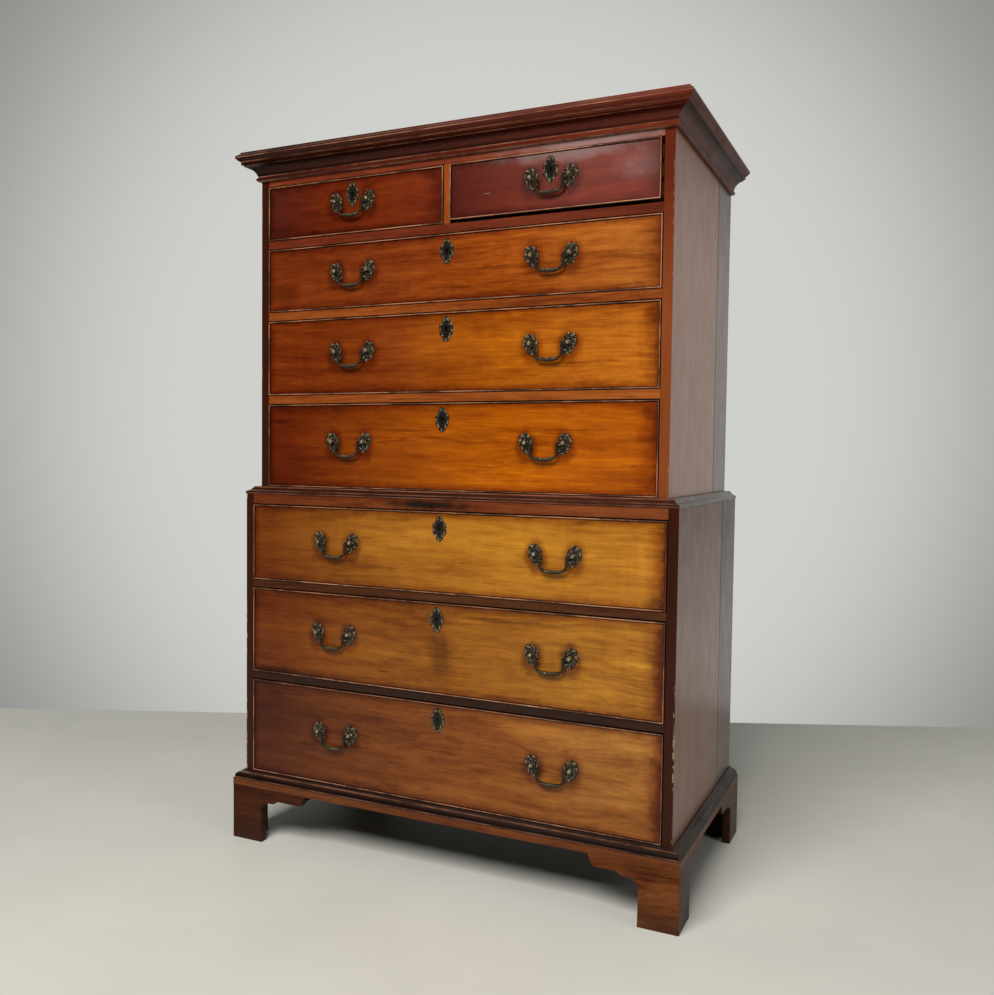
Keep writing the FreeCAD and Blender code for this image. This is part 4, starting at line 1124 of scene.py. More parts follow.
PAD = 87.0 * MM                 # width of a bracket on the floor
SCOOP = 24.0 * MM               # radius of the round that starts its arch
ARCH = 100.0 * MM               # height of the level part of the arch
FLAT = 123.0 * MM               # from the corner to where the level part ends
CYMA = 136.0 * MM               # from the corner to where the arm starts
ARM = 107.8 * MM                # height of the arm's underside
FOOT_TOP = 133.0 * MM
END = 12.0 * MM                 # run of the curve that ends the arm
BOARD = 20.0 * MM               # thickness of a bracket
REAR_RUN = 130.0 * MM           # run of the sloped bracket behind a back foot
BLOCK = 40.0 * MM               # width of an upright glue block
BLOCK_FLAT = 0.6                # thickness of the blocks over the arms, as a share of it
BLOCK_UP = 4.0 * MM             # from the floor or the arm's underside up to a block


def bracket(run):
    """Bracket as (distance from the outer corner, height)."""
    spring_x = PAD - 1.0 * MM
    across = spring_x + SCOOP
    spring = ARCH - SCOOP
    lean = SCOOP * math.sqrt(0.5)
    arm = run - END
    return outline([
        (0.0, 0.0), (PAD, 0.0), (spring_x, spring),
        ((across - lean, spring + lean), (across, ARCH)), (FLAT, ARCH),
        (((FLAT + CYMA) / 2, ARCH * 0.4 + ARM * 0.6), (CYMA, ARM)), (arm, ARM),
        ((arm + END * 0.55, ARM * 0.54 + FOOT_TOP * 0.46), (run, FOOT_TOP)), (0.0, FOOT_TOP)],
        0.0, 10)


def extruded(shells, points, near, far, along):
    """A board between two copies of a polygon; near and far place its points in space."""
    work = bmesh.new()
    ends = loft(work, [near(p) for p in points], [far(p) for p in points])
    bmesh.ops.recalc_face_normals(work, faces=list(work.faces))
    rims = [e for e in work.edges if any(f in ends for f in e.link_faces)]
    bmesh.ops.bevel(work, geom=rims, offset=BOARD_EDGE, segments=2, profile=0.5,
                    affect="EDGES", clamp_overlap=True)
    shells.take(work, along)


class CHEST_OT_feet(bpy.types.Operator):
    """Builds the four bracket feet with the blocks glued behind them"""

    bl_idname = "chest.feet"
    bl_label = "Feet"

    def execute(self, context):
        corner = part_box("foot_front_right")

        def hue(tree):
            reach = corner[1].x
            front = between(tree, 0, -reach, reach * 0.7, colours().foot_left,
                            colours().foot_right)
            face = corner[0].y
            # the sides and backs of the feet take a darker colour as painted shade
            behind = along_axis(tree, 1, face + 0.5 * MM, face + 1.5 * MM, 0.0, 1.0)
            return tinted(tree, behind, front, tuple(colours().foot_side))

        material = wood("mahogany_feet", hue, contrast=1.1, swirl=0.02, coat=0.0, level=0.12,
                        gloss=0.40, marks=self.scuffs, streaks=(6.0, 45.0))
        # near-black pine: painted shade behind and under the feet
        pine = wood("sooty_pine_glue_blocks", colours().underside, coat=0.0, gloss=0.8)
        for depth in ("front", "back"):
            for sign, end in ((-1, "left"), (1, "right")):
                name = f"foot_{depth}_{end}"
                low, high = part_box(name)
                x = low.x if sign < 0 else high.x
                if depth == "front":
                    self.front(name, sign, x, low.y, high.x - low.x, high.y - low.y, material,
                               pine)
                else:
                    self.back(name, sign, x, high.y, high.y - low.y, material, pine)
        return {"FINISHED"}

    @staticmethod
    def scuffs(tree, hue):
        """Wood darker in uneven blots near the floor, and knocked lighter spots."""
        place = add(tree, "ShaderNodeTexCoord").outputs["Object"]
        z = add(tree, "ShaderNodeSeparateXYZ", {"Vector": place}).outputs["Z"]
        blots = add(tree, "ShaderNodeTexNoise", {
            "Vector": place, "Scale": 26.0, "Detail": 4.0, "Roughness": 0.6})
        height = add(tree, "ShaderNodeMath", {0: blots, 1: -110 * MM, 2: z}, operation="MULTIPLY_ADD")
        # darker towards the floor, in uneven blots
        dark_near_floor = smooth_range(tree, height, -45 * MM, 15 * MM, 0.7, 0.0)
        hue = tinted(tree, dark_near_floor, hue, (0.035, 0.013, 0.006, 1))
        knocks = add(tree, "ShaderNodeTexNoise", {
            "Vector": place, "Scale": 90.0, "Detail": 3.0, "Roughness": 0.5})
        pale = smooth_range(tree, knocks, 0.70, 0.76, 0.0, 0.5)
        return tinted(tree, pale, hue, (0.35, 0.19, 0.10, 1))

    def front(self, name, sign, x, y, run, depth, material, pine):
        """Two brackets mitred at the corner, and three blocks behind them."""
        inner = x - sign * BOARD
        behind = y + BOARD
        shells = Shells(len(name))
        extruded(shells, bracket(run), lambda p: (x - sign * p[0], y, p[1]),
                 lambda p: (x - sign * max(p[0], BOARD), behind, p[1]), 0)
        extruded(shells, bracket(depth), lambda p: (x, y + p[0], p[1]),
                 lambda p: (inner, y + max(p[0], BOARD), p[1]), 1)
        shells.piece(f"{name}_brackets", "lower_chest", material, [name], "mahogany_moulding")
        b = BLOCK
        arm_z = ARM + BLOCK_UP
        blocks = Shells(5)
        self.block(blocks, inner, inner - sign * b, behind, behind + b, BLOCK_UP)
        self.block(blocks, inner - sign * b, x - sign * (run - END), behind,
                   behind + b * BLOCK_FLAT, arm_z)
        self.block(blocks, inner, inner - sign * b * BLOCK_FLAT, behind + b, y + depth - END,
                   arm_z)
        blocks.piece(f"{name}_glue_blocks", "lower_chest", pine, [name], "pine")

    def back(self, name, sign, x, y, depth, material, pine):
        """A side bracket, a sloped rear bracket, and two blocks behind them."""
        inner = x - sign * BOARD
        ahead = y - BOARD
        shells = Shells(len(name) + 1)
        extruded(shells, bracket(depth), lambda p: (x, y - p[0], p[1]),
                 lambda p: (inner, y - p[0], p[1]), 1)
        slope = [(BOARD, 0.0), (PAD, 0.0), (REAR_RUN, ARM), (REAR_RUN, FOOT_TOP),
                 (BOARD, FOOT_TOP)]
        extruded(shells, slope, lambda p: (x - sign * p[0], ahead, p[1]),
                 lambda p: (x - sign * p[0], y, p[1]), 0)
        shells.piece(f"{name}_brackets", "lower_chest", material, [name], "mahogany_moulding")
        b = BLOCK
        blocks = Shells(6)
        self.block(blocks, inner, inner - sign * b, ahead - b, ahead, BLOCK_UP)
        self.block(blocks, inner, inner - sign * b * BLOCK_FLAT, y - depth + END, ahead - b,
                   ARM + BLOCK_UP)
        blocks.piece(f"{name}_glue_blocks", "lower_chest", pine, [name], "pine")

    @staticmethod
    def block(shells, x0, x1, y0, y1, bottom):
        """A glue block that reaches up to the base moulding."""
        left, right = sorted((x0, x1))
        shells.board((left, y0, bottom), (right, y1, FOOT_TOP), 2, BLOCK_EDGE)


# ---- brass ----

# Path of a bail. Its thicknesses are shares of its pins' radius, which the panel gives.
LEG_PITCH = 62.0 * MM           # between the middles of the two legs
LEG_BEND = 5.0 * MM             # radius of the turn from a pin into its leg
BAIL_DROP = 36.5 * MM           # from the pins' axis down to the middle of the grip
KNEE = 12.0 * MM                # radius of the turn from a leg towards the grip
KNEE_TURN = 70.0                # degrees
PIN_END = 2.4 * MM              # end of a pin beyond the middle of its post
PIN_STRAIGHT = 3.0 * MM         # straight part of a pin before its turn
LEG_THICK = 1.42
GRIP_THICK = (1.75, 0.45)       # at the collar, and what is added up to the middle
SOLID_GRIP = 1.86               # thickness of the CAD grip, whose lower line is kept
# (millimetres along the rod from the collar's middle, thickness)
COLLAR = ((-1.4, 1.2), (-1.1, 1.7), (-0.4, 1.9), (0.4, 1.9), (1.1, 1.7), (1.5, 1.3))
COLLAR_AHEAD = 1.2 * MM         # from the end of the knee on to the collar's middle
COLLAR_CLEAR = 2.2 * MM         # from the collar's middle to where the grip starts
ROD_SIDES = 14

ROSETTE = (40.0 * MM, 54.0 * MM)        # width and height
ESCUTCHEON = (38.0 * MM, 57.0 * MM)
ESCUTCHEON_DOWN = 38.0 * MM     # from the front's top to the middle of its escutcheon
ROSETTE_DOWN = 2.0 * MM         # middle of a rosette below its post
ROSETTE_LEAN = 14.0             # degrees
LOCK = (64.0 * MM, 9.0 * MM, 46.0 * MM)     # width, thickness and height
LOCK_DOWN = 3.0 * MM
POST = 4.8 * MM                 # radius of the ball that ends a post
POST_REACH = 15.8 * MM          # from the front to the tip of a post
# Outlines of a post about the bail's axis and about the front's face, as (Y, radius) in
# shares of its ball, and of the nut about the front's inside, in millimetres.
BALL = ((-1.0, 0.0), (-0.97, 0.25), (-0.8, 0.6), (-0.45, 0.9), (0.0, 1.0), (0.45, 0.9),
        (0.85, 0.6))
NECK = ((-0.9, 0.62), (-0.55, 0.95), (-0.3, 1.2))
NUT = ((-0.2, 0.0), (-0.2, 6.2), (0.3, 6.5), (3.0, 6.5), (3.5, 6.0), (3.5, 0.0))
SEAT = 0.4 * MM                 # how far a post is let into the front


def brass_material(name, pitted):
    """Cast brass under old lacquer and dirt, rubbed bright on its high places, which the piece's
    rub attribute marks, on the bails with a painted highlight and shade as well; pitted says
    how unevenly."""
    material, tree = new_material(name)
    place = add(tree, "ShaderNodeTexCoord").outputs["Object"]
    rub = add(tree, "ShaderNodeAttribute", attribute_name="rub").outputs["Fac"]
    spots = add(tree, "ShaderNodeTexNoise", {
        "Vector": place, "Scale": 420.0, "Detail": 4.0, "Roughness": 0.65})
    wear = add(tree, "ShaderNodeMath", {0: spots, 1: pitted, 2: -pitted / 2},
               operation="MULTIPLY_ADD")
    wear = add(tree, "ShaderNodeMath", {0: rub, 1: wear}, operation="ADD")
    hue = ramp(tree, wear, [
        (0.12, (0.007, 0.005, 0.003, 1)), (0.38, tuple(colours().patina)),
        (0.54, tuple(colours().patina)), (0.78, tuple(colours().rubbed))])
    bright = smooth_range(tree, wear, 0.5, 1.0, 0.35, 0.8)
    rough = smooth_range(tree, wear, 0.2, 1.0, 0.45, 0.24)
    bump = add(tree, "ShaderNodeBump", {
        "Height": spots, "Strength": 0.4, "Distance": 0.8 * MM})
    shader = add(tree, "ShaderNodeBsdfPrincipled", {
        "Base Color": hue, "Metallic": bright, "Roughness": rough, "Normal": bump})
    add(tree, "ShaderNodeOutputMaterial", {"Surface": shader})
    return material


def rod_tree(material):
    """Geometry nodes that sweep a round rod along a path of edges; the path's thickness
    attribute says how thick the rod is at each point."""
    tree = bpy.data.node_groups.new("Swan neck rod", "GeometryNodeTree")
    face = tree.interface
    face.new_socket("Geometry", in_out="INPUT", socket_type="NodeSocketGeometry")
    radius = face.new_socket("Rod radius", in_out="INPUT", socket_type="NodeSocketFloat")
    sides = face.new_socket("Rod sides", in_out="INPUT", socket_type="NodeSocketInt")
    face.new_socket("Geometry", in_out="OUTPUT", socket_type="NodeSocketGeometry")
    start = add(tree, "NodeGroupInput")
    thick = add(tree, "GeometryNodeInputNamedAttribute", {"Name": "thickness"}, data_type="FLOAT")
    path = add(tree, "GeometryNodeMeshToCurve", {"Mesh": start.outputs["Geometry"]})
    circle = add(tree, "GeometryNodeCurvePrimitiveCircle", {
        "Resolution": start.outputs["Rod sides"], "Radius": start.outputs["Rod radius"]})
    rod = add(tree, "GeometryNodeCurveToMesh", {
        "Curve": path, "Profile Curve": circle, "Scale": thick.outputs["Attribute"],
        "Fill Caps": True})
    whole = add(tree, "GeometryNodeRealizeInstances", {"Geometry": rod})
    dressed = add(tree, "GeometryNodeSetMaterial", {"Geometry": whole, "Material": material})
    add(tree, "NodeGroupOutput", {"Geometry": dressed})
    return tree, radius.identifier, sides.identifier


def bail_path():
    """Half of a swan-neck bail as (x, z, thickness), from its pin to the middle of the
    grip, in metres about the middle of the pins' axis."""
    leg = LEG_PITCH / 2
    turn = math.radians(KNEE_TURN)
    slope = math.radians(90 - KNEE_TURN)
    collar_x = leg - KNEE + KNEE * math.cos(turn)
    grip_bend = collar_x / math.sin(slope)
    collar_z = grip_bend * (1 - math.cos(slope)) - BAIL_DROP
    knee_z = collar_z + KNEE * math.sin(turn)
    bend = LEG_BEND
    points = [(sizes().post_pitch / 2 + PIN_END, 0.0, 1.0),
              (leg + bend + PIN_STRAIGHT, 0.0, 1.0)]
    for i in range(7):
        a = math.radians(90 * i / 6)
        points.append((leg + bend - bend * math.sin(a), -bend + bend * math.cos(a),
                       1.0 + (LEG_THICK - 1.0) * math.sin(a)))
    points.append((leg, (knee_z - bend) / 2, LEG_THICK))
    # the collar takes the place of the knee's last point
    for i in range(8):
        a = turn * i / 8
        points.append((leg - KNEE + KNEE * math.cos(a), knee_z - KNEE * math.sin(a),
                       LEG_THICK + 0.1 * i / 8))
    heading = (-math.cos(slope), -math.sin(slope))
    centre = (collar_x + COLLAR_AHEAD * heading[0], collar_z + COLLAR_AHEAD * heading[1])
    for along, thick in COLLAR:
        points.append((centre[0] + heading[0] * along * MM, centre[1] + heading[1] * along * MM,
                       thick))
    for i in range(1, 13):
        share = i / 12
        a = slope * (1 - share)
        x = grip_bend * math.sin(a)
        if x > centre[0] - COLLAR_CLEAR:
            continue
        swell = GRIP_THICK[0] + GRIP_THICK[1] * math.sin(share * math.pi / 2) ** 0.8
        rise = (swell - SOLID_GRIP) * sizes().bail
        points.append((x, grip_bend - BAIL_DROP - grip_bend * math.cos(a) + rise, swell))
    return points


class CHEST_OT_bails(bpy.types.Operator):
    """Builds the fourteen swan-neck bails"""

    bl_idname = "chest.bails"
    bl_label = "Bails"

    def execute(self, context):
        material = brass_material("smooth_old_brass_of_the_bails", 1.4)
        tree, radius_id, sides_id = rod_tree(material)
        half = bail_path()
        path = half + [(-x, z, t) for x, z, t in half[-2::-1]]
        for name in sorted(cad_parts):
            if "_bail" not in name:
                continue
            low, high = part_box(name)
            centre = Vector(((low.x + high.x) / 2, (low.y + high.y) / 2,
                             high.z - sizes().bail))
            mesh = bpy.data.meshes.new(name)
            mesh.from_pydata([centre + Vector((x, 0, z)) for x, z, _ in path],
                             [(i, i + 1) for i in range(len(path) - 1)], [])
            attribute = mesh.attributes.new("thickness", "FLOAT", "POINT")
            attribute.data.foreach_set("value", [t for _, _, t in path])
            item = linked("path", mesh)
            nodes = item.modifiers.new("rod", "NODES")
            nodes.node_group = tree
            nodes[radius_id] = sizes().bail
            nodes[sides_id] = ROD_SIDES
            graph = bpy.context.evaluated_depsgraph_get()
            rod = bpy.data.meshes.new_from_object(item.evaluated_get(graph))
            bpy.data.objects.remove(item)
            self.rub(rod, centre)
            finished(name.replace("_bail", "_swan_neck"), rod, name, material, [name],
                     smooth=50)
        return {"FINISHED"}

    @staticmethod
    def rub(mesh, centre):
        """Hands rub the front of the grip and its collars most. The grip's upper half is also
        painted paler as a highlight and its lower half darker as shade.
        """
        values = []
        for vertex in mesh.vertices:
            ahead = (centre.y - vertex.co.y) / (4 * MM)
            down = (centre.z - vertex.co.z) / (40 * MM)
            # painted highlight and shade: paler above the grip's middle, darker below it
            above = (vertex.co.z - centre.z + 36 * MM) / (6 * MM) if down > 0.8 else 0.0
            values.append(0.12 + 0.20 * max(ahead, -0.4) + 0.06 * down + 0.34 * above)
        attribute = mesh.attributes.new("rub", "FLOAT", "POINT")
        attribute.data.foreach_set("value", values)


def lathe(profile, steps, centre):
    """Points and faces of a closed shape turned about Y; profile is (y, radius)."""
    points = []
    faces = []
    rings = profile[1:-1]
    points.append(centre + Vector((0, profile[0][0], 0)))
    for y, radius in rings:
        for i in range(steps):
            a = 2 * math.pi * i / steps
            points.append(centre + Vector((radius * math.cos(a), y, radius * math.sin(a))))
    points.append(centre + Vector((0, profile[-1][0], 0)))
    last = len(points) - 1
    for i in range(steps):
        j = (i + 1) % steps
        faces.append([0, 1 + i, 1 + j])
        for ring in range(len(rings) - 1):
            a = 1 + ring * steps
            b = a + steps
            faces.append([a + j, a + i, b + i, b + j])
        a = 1 + (len(rings) - 1) * steps
        faces.append([last, a + j, a + i])
    return points, faces


def casting(inner, reach, height, steps, rings):
    """Front, back and edges of a cast plate in its own plane: (x, z, lift, rub) points with
    their faces. inner and reach give the radius of its hole and its rim at an angle, and
    height gives (lift, rub) at (angle, share from hole to rim)."""
    points = []
    faces = []
    for ring in range(rings + 1):
        share = ring / rings
        for i in range(steps):
            a = 2 * math.pi * i / steps
            (ix, iz), (ox, oz) = inner(a), reach(a)
            lift, rub = height(a, share)
            points.append((ix + (ox - ix) * share, iz + (oz - iz) * share, lift, rub))
    for ring in (0, rings):
        for i in range(steps):
            x, z, _, _ = points[ring * steps + i]
            points.append((x, z, 0.0, 0.0))
    hole = (rings + 1) * steps
    rim = hole + steps
    for i in range(steps):
        j = (i + 1) % steps
        for ring in range(rings):
            a, b = ring * steps, (ring + 1) * steps
            faces.append([a + i, a + j, b + j, b + i])
        outer = rings * steps
        faces.append([outer + i, outer + j, rim + j, rim + i])
        faces.append([hole + i, hole + j, j, i])
        faces.append([rim + i, rim + j, hole + j, hole + i])
    return points, faces


def rosette(width, tall, relief):
    """A leafy oval boss of seven uneven lobes that curl to one side, with veins between."""
    lobes = 7
    valley = 0.80
    base = 1.0 * MM
    hole = 2.6 * MM
    hole_up = 2.0 * MM

    def reach(a):
        lobe = abs(math.cos((a + math.pi / 2) * lobes / 2)) ** 0.6
        fringe = 0.035 * math.cos(lobes * 3 * a + 0.8)
        r = valley + (0.94 - valley) * lobe + fringe + 0.025 * math.sin(2 * a + 0.6)
        narrow = 1 - 0.12 + 0.12 * math.sin(a)
        return (width / 2 * r * math.cos(a) * narrow, tall / 2 * r * math.sin(a))

    def inner(a):
        return (hole * math.cos(a), hole * math.sin(a) + hole_up)

    def height(a, share):
        curl = a + 0.8 * share
        ridge = abs(math.cos((curl + math.pi / 2) * lobes / 2))
        vein = 0.5 + 0.5 * math.cos(curl * lobes * 3)
        beads = 0.5 + 0.5 * math.cos(5 * curl + 2.0) * math.cos(17 * share + 3 * a)
        dome = math.sin(math.pi * min(1.0, share * 0.8 + 0.2)) ** 0.6
        rim = math.exp(-((share - 0.80) / 0.16) ** 2)
        lift = base + relief * (0.30 * dome + ridge * 0.45 * rim + 0.20 * vein * rim)
        lift += relief * 0.30 * math.exp(-((share - 0.32) / 0.12) ** 2) * beads
        if share > 0.97:
            lift = base
        rub = 0.30 + 0.40 * rim * ridge * beads + 0.35 * vein * beads * dome
        return lift, rub - 0.22 * (1 - ridge) - 0.10 * (1 - rim)

    return casting(inner, reach, height, 112, 16)


def escutcheon(width, tall, relief):
    """A pierced cartouche with a crest and a pendant round its keyhole."""
    base = 0.9 * MM
    key_radius = 2.4 * MM
    key_drop = 10.5 * MM
    key_up = 3.0 * MM

    def reach(a):
        up = math.sin(a)
        scallop = 0.08 * abs(math.cos(5 * a + math.pi / 2))
        waist = 0.16 * math.exp(-((abs(up) - 0.74) / 0.12) ** 2)
        r = 0.88 + scallop - waist + 0.10 * abs(up) ** 8
        return (width / 2 * r * math.cos(a), tall / 2 * min(r, 1.0) * up)

    def inner(a):
        turn = math.remainder(a, 2 * math.pi)
        if -2.4 < turn < -0.74:
            side = math.copysign(1, math.cos(turn)) * min(1, abs(math.cos(turn)) * 3)
            return (KEYHOLE_SLOT / 2 * side, -key_drop * abs(math.sin(turn)) + key_up)
        return (key_radius * math.cos(a), key_radius * math.sin(a) + key_up)

    def height(a, share):
        leaf = 0.5 + 0.5 * math.cos(9 * a + 2.5 * share)
        vein = 0.5 + 0.5 * math.cos(23 * a - 3 * share)
        rim = math.exp(-((share - 0.80) / 0.13) ** 2)
        collar = math.exp(-((share - 0.10) / 0.10) ** 2)
        lift = base + relief * (0.75 * rim * (0.45 + 0.55 * leaf) + 0.2 * vein * rim
                                + 0.35 * collar)
        if share > 0.97:
            lift = base
        dark = 0.35 * math.exp(-(share / 0.35) ** 2)
        return lift, 0.14 + 0.42 * rim * leaf + 0.22 * vein * rim - dark

    return casting(inner, reach, height, 96, 12)


def plate(points, at, face, lean=0.0, mirror=1):
    """Puts a casting's points on a drawer front, turned by lean in its own plane."""
    cos, sin = math.cos(lean), math.sin(lean)
    return [Vector((at[0] + mirror * (x * cos - z * sin), face - lift,
                    at[1] + x * sin + z * cos)) for x, z, lift, _ in points]


class CHEST_OT_brasses(bpy.types.Operator):
    """Builds the rosettes, posts, nuts, escutcheons and locks of the eight drawers"""

    bl_idname = "chest.brasses"
    bl_label = "Rosettes and escutcheons"

    def execute(self, context):
        material = brass_material("cast_old_lacquered_brass", 3.6)
        relief = sizes().relief
        leaf, leaf_faces = rosette(*ROSETTE, relief)
        key, key_faces = escutcheon(*ESCUTCHEON, relief * 0.8)
        for name in DRAWERS:
            front = Front(name)
            points, faces, rub = [], [], []

            def take(new_points, new_faces, new_rub):
                start = len(points)
                points.extend(new_points)
                faces.extend([[start + i for i in face] for face in new_faces])
                rub.extend(new_rub)

            at = (front.brass, front.top - ESCUTCHEON_DOWN)
            take(plate(key, at, front.face), key_faces, [r for _, _, _, r in key])
            for low, high in front.bails:
                middle = (low.x + high.x) / 2
                axis = (low.y + high.y) / 2
                for sign in (-1, 1):
                    x = middle + sign * sizes().post_pitch / 2
                    take(plate(leaf, (x, front.post_z - ROSETTE_DOWN), front.face,
                               -math.radians(ROSETTE_LEAN), sign), leaf_faces,
                         [r for _, _, _, r in leaf])
                    self.post(take, Vector((x, 0, front.post_z)), axis, front)
            wide, thick, tall = LOCK
            top = front.top - LOCK_DOWN
            lock = Shells()
            lock.board((front.brass - wide / 2, front.inside - thick, top - tall),
                       (front.brass + wide / 2, front.inside, top), 0, LOCK_EDGE)
            take(lock.points, lock.faces, [0.1] * len(lock.points))
            mesh = bpy.data.meshes.new(name)
            mesh.from_pydata(points, [], faces)
            attribute = mesh.attributes.new("rub", "FLOAT", "POINT")
            attribute.data.foreach_set("value", rub)
            outward(mesh)
            finished(f"{name}_rosettes_and_escutcheon", mesh, front.body, material,
                     [f"{name}_drawer_brass"], smooth=60)
        return {"FINISHED"}

    @staticmethod
    def post(take, centre, axis, front):
        """A turned post with a ball end that holds the bail, and its nut inside."""
        face = front.face
        profile = [(axis + y * POST, radius * POST) for y, radius in BALL]
        profile += [(face + y * POST, radius * POST) for y, radius in NECK]
        profile += [(face + SEAT, 1.2 * POST), (face + SEAT, 0.0)]
        points, faces = lathe(profile, 20, centre)
        take(points, faces,
             [0.35 + 0.5 * max(0.0, (face - p.y) / POST_REACH - 0.3) for p in points])
        points, faces = lathe([(front.inside + y * MM, radius * MM) for y, radius in NUT], 16,
                              centre)
        take(points, faces, [0.2] * len(points))


# ---- what is left as solids ----

class CHEST_OT_linings(bpy.types.Operator):
    """Gives the drawer boxes, runners, dust boards, tops and bottoms plain wood, and the plinth and
    lowest bottom board a near-black painted shade
    """

    bl_idname = "chest.linings"
    bl_label = "Linings"

    def execute(self, context):
        oak = wood("oak_linings", colours().oak, axis=1, coat=0.0, gloss=0.6,
                   streaks=(2.0, 110.0))
        pine = wood("pine_inner_boards", colours().pine, axis=0, coat=0.0, gloss=0.72)
        shade_darkened = wood("sooty_pine_underside", colours().underside, axis=0, coat=0.0,
                     gloss=0.8)
        for name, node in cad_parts.items():
            if node.hide_render:
                continue
            lining = oak if "drawer_box" in name or "runners" in name else pine
            # the plinth and the lowest bottom board are near-black as painted shade under the chest
            if "plinth" in name or name == "lower_bottom_board":
                lining = shade_darkened
            node.data.materials.clear()
            node.data.materials.append(lining)
        return {"FINISHED"}


# ---- stage ----

CAMERA_AT = (1.01209, -2.15284, 0.96108)
YAW = 24.9                      # degrees to the left of the Y axis
PITCH = -2.57                   # degrees above level
ROLL = 0.70                     # degrees
LENS = 34.53                    # mm, on a sensor 36 mm wide

# Foot of the wall, where the floor ends: a place on it and its slope in plan.
WALL_FOOT = (-2.124, 0.247)
WALL_SLOPE = 0.43
FLOOR_HALF = 7.0
FLOOR_FRONT = -9.0

# What polish and brass mirror besides the wall: a pale ceiling, a window at the right and a
# glow high in front, as (direction, cosine where it starts, cosine where it is full, strength).
GLOWS = (
    ((0.0, -0.2, 0.98), 0.72, 0.93, 1.3),
    ((0.83, -0.55, 0.1), 0.90, 0.98, 2.0),
    ((-0.28, -0.88, 0.385), 0.988, 0.9995, 2.0),
)

# Area lamps as (name, place, what it looks at, width, height, watts).
LAMPS = (
    ("ceiling_panel", (0.2, -3.6, 4.0), (0.0, -0.3, 0.6), 3.0, 2.0, 258.0),
    ("right_panel", (3.6, -1.0, 2.6), (0.3, 0.0, 0.8), 1.6, 2.0, 24.0),
)


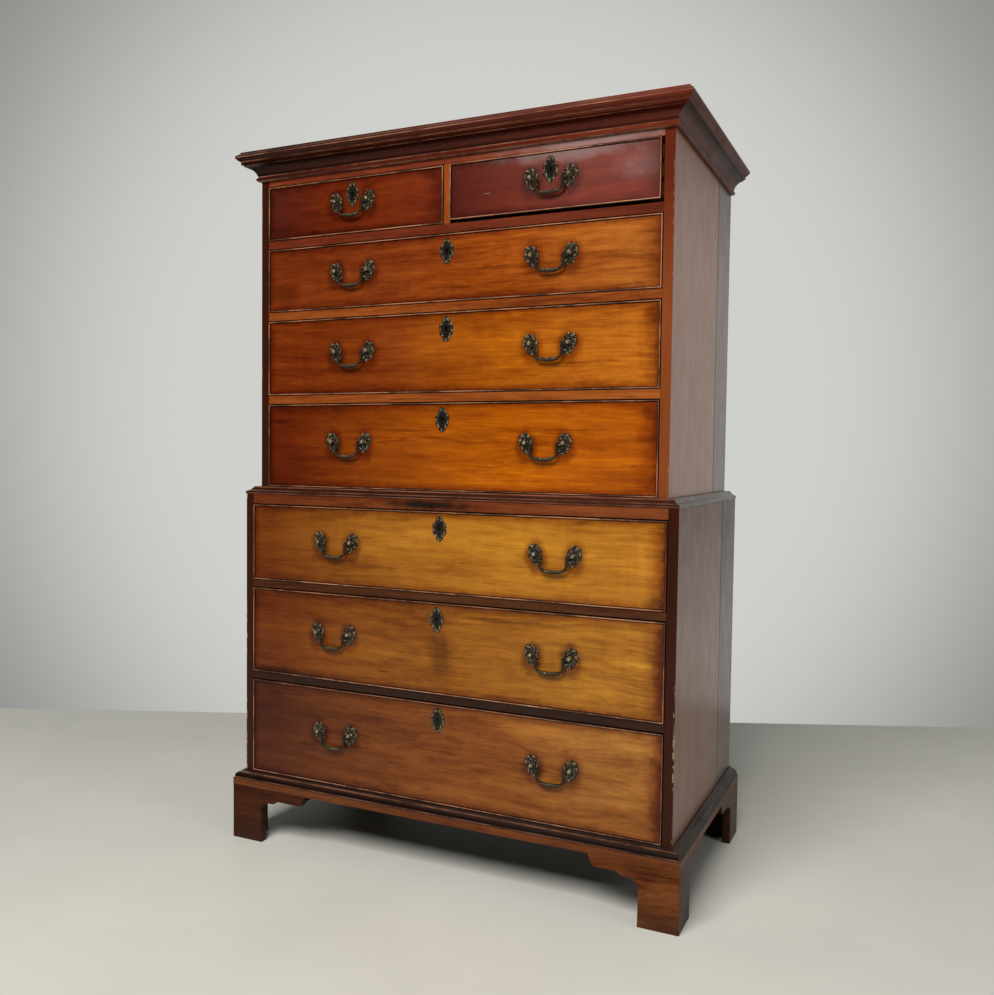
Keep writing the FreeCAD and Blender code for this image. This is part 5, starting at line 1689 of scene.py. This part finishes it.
class CHEST_OT_stage(bpy.types.Operator):
    """Builds the floor, the lamps, the pale room and the camera"""

    bl_idname = "chest.stage"
    bl_label = "Stage"

    def execute(self, context):
        self.floor()
        self.room()
        self.lamps()
        self.camera()
        context.scene.view_settings.view_transform = "Standard"
        return {"FINISHED"}

    @staticmethod
    def floor():
        """The floor, which ends at the foot of the wall."""
        mesh = bpy.data.meshes.new("floor")
        far = [(x, WALL_FOOT[1] + (x - WALL_FOOT[0]) * WALL_SLOPE, 0.0)
               for x in (-FLOOR_HALF, FLOOR_HALF)]
        near = [(x, FLOOR_FRONT, 0.0) for x in (FLOOR_HALF, -FLOOR_HALF)]
        mesh.from_pydata(far + near, [], [[3, 2, 1, 0]])
        floor = linked("floor", mesh)
        material, tree = new_material("plain_pale_floor")
        place = add(tree, "ShaderNodeTexCoord").outputs["Object"]
        mottle = add(tree, "ShaderNodeTexNoise", {
            "Vector": place, "Scale": 2.2, "Detail": 5.0, "Roughness": 0.6})
        tone = add(tree, "ShaderNodeMapRange", {
            "Value": mottle, "From Min": 0.3, "From Max": 0.7, "To Min": 0.95, "To Max": 1.04})
        hue = tinted(tree, 1.0, tuple(colours().floor), tone, "MULTIPLY")
        shader = add(tree, "ShaderNodeBsdfPrincipled", {"Base Color": hue, "Roughness": 0.55})
        add(tree, "ShaderNodeOutputMaterial", {"Surface": shader})
        mesh.materials.append(material)

    @staticmethod
    def room():
        """The pale wall as it is seen, brightest in one fixed direction and darker away from it as
        painted shade, and the room that polish and brass mirror: the same wall behind and a dim
        room with its glows in front. All other rays get a low, even light."""
        world = bpy.data.worlds.new("pale_room")
        world.use_nodes = True
        tree = world.node_tree
        tree.nodes.clear()
        heading = add(tree, "ShaderNodeTexCoord").outputs["Generated"]
        heading = add(tree, "ShaderNodeVectorMath", {0: heading}, operation="NORMALIZE")

        def toward(direction, start, end, low, high):
            cosine = add(tree, "ShaderNodeVectorMath", {0: heading, 1: direction},
                         operation="DOT_PRODUCT").outputs["Value"]
            return smooth_range(tree, cosine, start, end, low, high)

        # painted shade: the wall seen is darker away from one fixed direction
        wall = toward((-0.42, 0.906, 0.05), 0.82, 0.96, 0.27, 0.63)
        mirrored = toward((0.0, 1.0, 0.0), -0.05, 0.40, 0.025, 0.62)
        for direction, start, end, strength in GLOWS:
            mirrored = add(tree, "ShaderNodeMath", {
                0: mirrored, 1: toward(direction, start, end, 0.0, strength)}, operation="ADD")
        tint = tuple(colours().wall)
        seen = add(tree, "ShaderNodeBackground", {"Color": tint, "Strength": wall})
        mirror = add(tree, "ShaderNodeBackground", {"Color": tint, "Strength": mirrored})
        ambient = add(tree, "ShaderNodeBackground", {"Color": (1, 1, 1, 1), "Strength": 0.02})
        rays = add(tree, "ShaderNodeLightPath").outputs
        polished = add(tree, "ShaderNodeMath", {
            0: rays["Is Glossy Ray"], 1: rays["Is Transmission Ray"]}, operation="MAXIMUM")
        mixed = add(tree, "ShaderNodeMixShader", {0: polished, 1: ambient, 2: mirror})
        mixed = add(tree, "ShaderNodeMixShader", {0: rays["Is Camera Ray"], 1: mixed, 2: seen})
        add(tree, "ShaderNodeOutputWorld", {"Surface": mixed})
        bpy.context.scene.world = world

    @staticmethod
    def lamps():
        """The area lamps, which aren't seen in the polish."""
        for name, at, target, wide, high, watts in LAMPS:
            data = bpy.data.lights.new(name, "AREA")
            data.shape = "RECTANGLE"
            data.size = wide
            data.size_y = high
            data.energy = watts
            lamp = linked(name, data)
            lamp.visible_glossy = False
            lamp.location = at
            heading = Vector(target) - Vector(at)
            lamp.rotation_mode = "QUATERNION"
            lamp.rotation_quaternion = heading.to_track_quat("-Z", "Y")

    @staticmethod
    def camera():
        """The camera, turned by its yaw, pitch and roll."""
        yaw, pitch, roll = (math.radians(a) for a in (YAW, PITCH, ROLL))
        ahead = Vector((-math.sin(yaw) * math.cos(pitch), math.cos(yaw) * math.cos(pitch),
                        math.sin(pitch)))
        level = Vector((math.cos(yaw), math.sin(yaw), 0.0))
        up = level.cross(ahead)
        right = level * math.cos(roll) + up * math.sin(roll)
        top = up * math.cos(roll) - level * math.sin(roll)
        data = bpy.data.cameras.new("camera")
        data.lens = LENS
        data.sensor_width = 36.0
        data.sensor_fit = "HORIZONTAL"
        data.clip_start = 0.05
        camera = linked("camera", data)
        turned = Matrix((right, top, -ahead)).transposed().to_4x4()
        camera.matrix_world = Matrix.Translation(CAMERA_AT) @ turned
        bpy.context.scene.camera = camera


class CHEST_PT_panel(bpy.types.Panel):
    """Lists what builds the chest, and its sizes and colours"""

    bl_idname = "CHEST_PT_panel"
    bl_label = "Chest on chest"
    bl_space_type = "VIEW_3D"
    bl_region_type = "UI"
    bl_category = "Chest"

    def draw(self, context):
        for operator in OPERATORS:
            self.layout.operator(operator.bl_idname)
        for group in (context.scene.chest_sizes, context.scene.chest_colours,
                      context.scene.chest_fronts):
            box = self.layout.box()
            for name in group.__annotations__:
                box.prop(group, name)


OPERATORS = (CHEST_OT_carcasses, CHEST_OT_mouldings, CHEST_OT_feet, CHEST_OT_fronts,
             CHEST_OT_bails, CHEST_OT_brasses, CHEST_OT_linings, CHEST_OT_stage)
GROUPS = {"chest_sizes": ChestSizes, "chest_colours": ChestColours,
          "chest_fronts": FrontColours}


def register():
    for item in tuple(GROUPS.values()) + OPERATORS + (CHEST_PT_panel,):
        bpy.utils.register_class(item)
    for name, group in GROUPS.items():
        setattr(bpy.types.Scene, name, PointerProperty(type=group))


def unregister():
    for name in GROUPS:
        delattr(bpy.types.Scene, name)
    for item in (CHEST_PT_panel,) + OPERATORS[::-1] + tuple(GROUPS.values())[::-1]:
        bpy.utils.unregister_class(item)


def main():
    register()
    for operator in OPERATORS:
        group, name = operator.bl_idname.split(".")
        getattr(getattr(bpy.ops, group), name)()


if __name__ == "__main__":
    main()
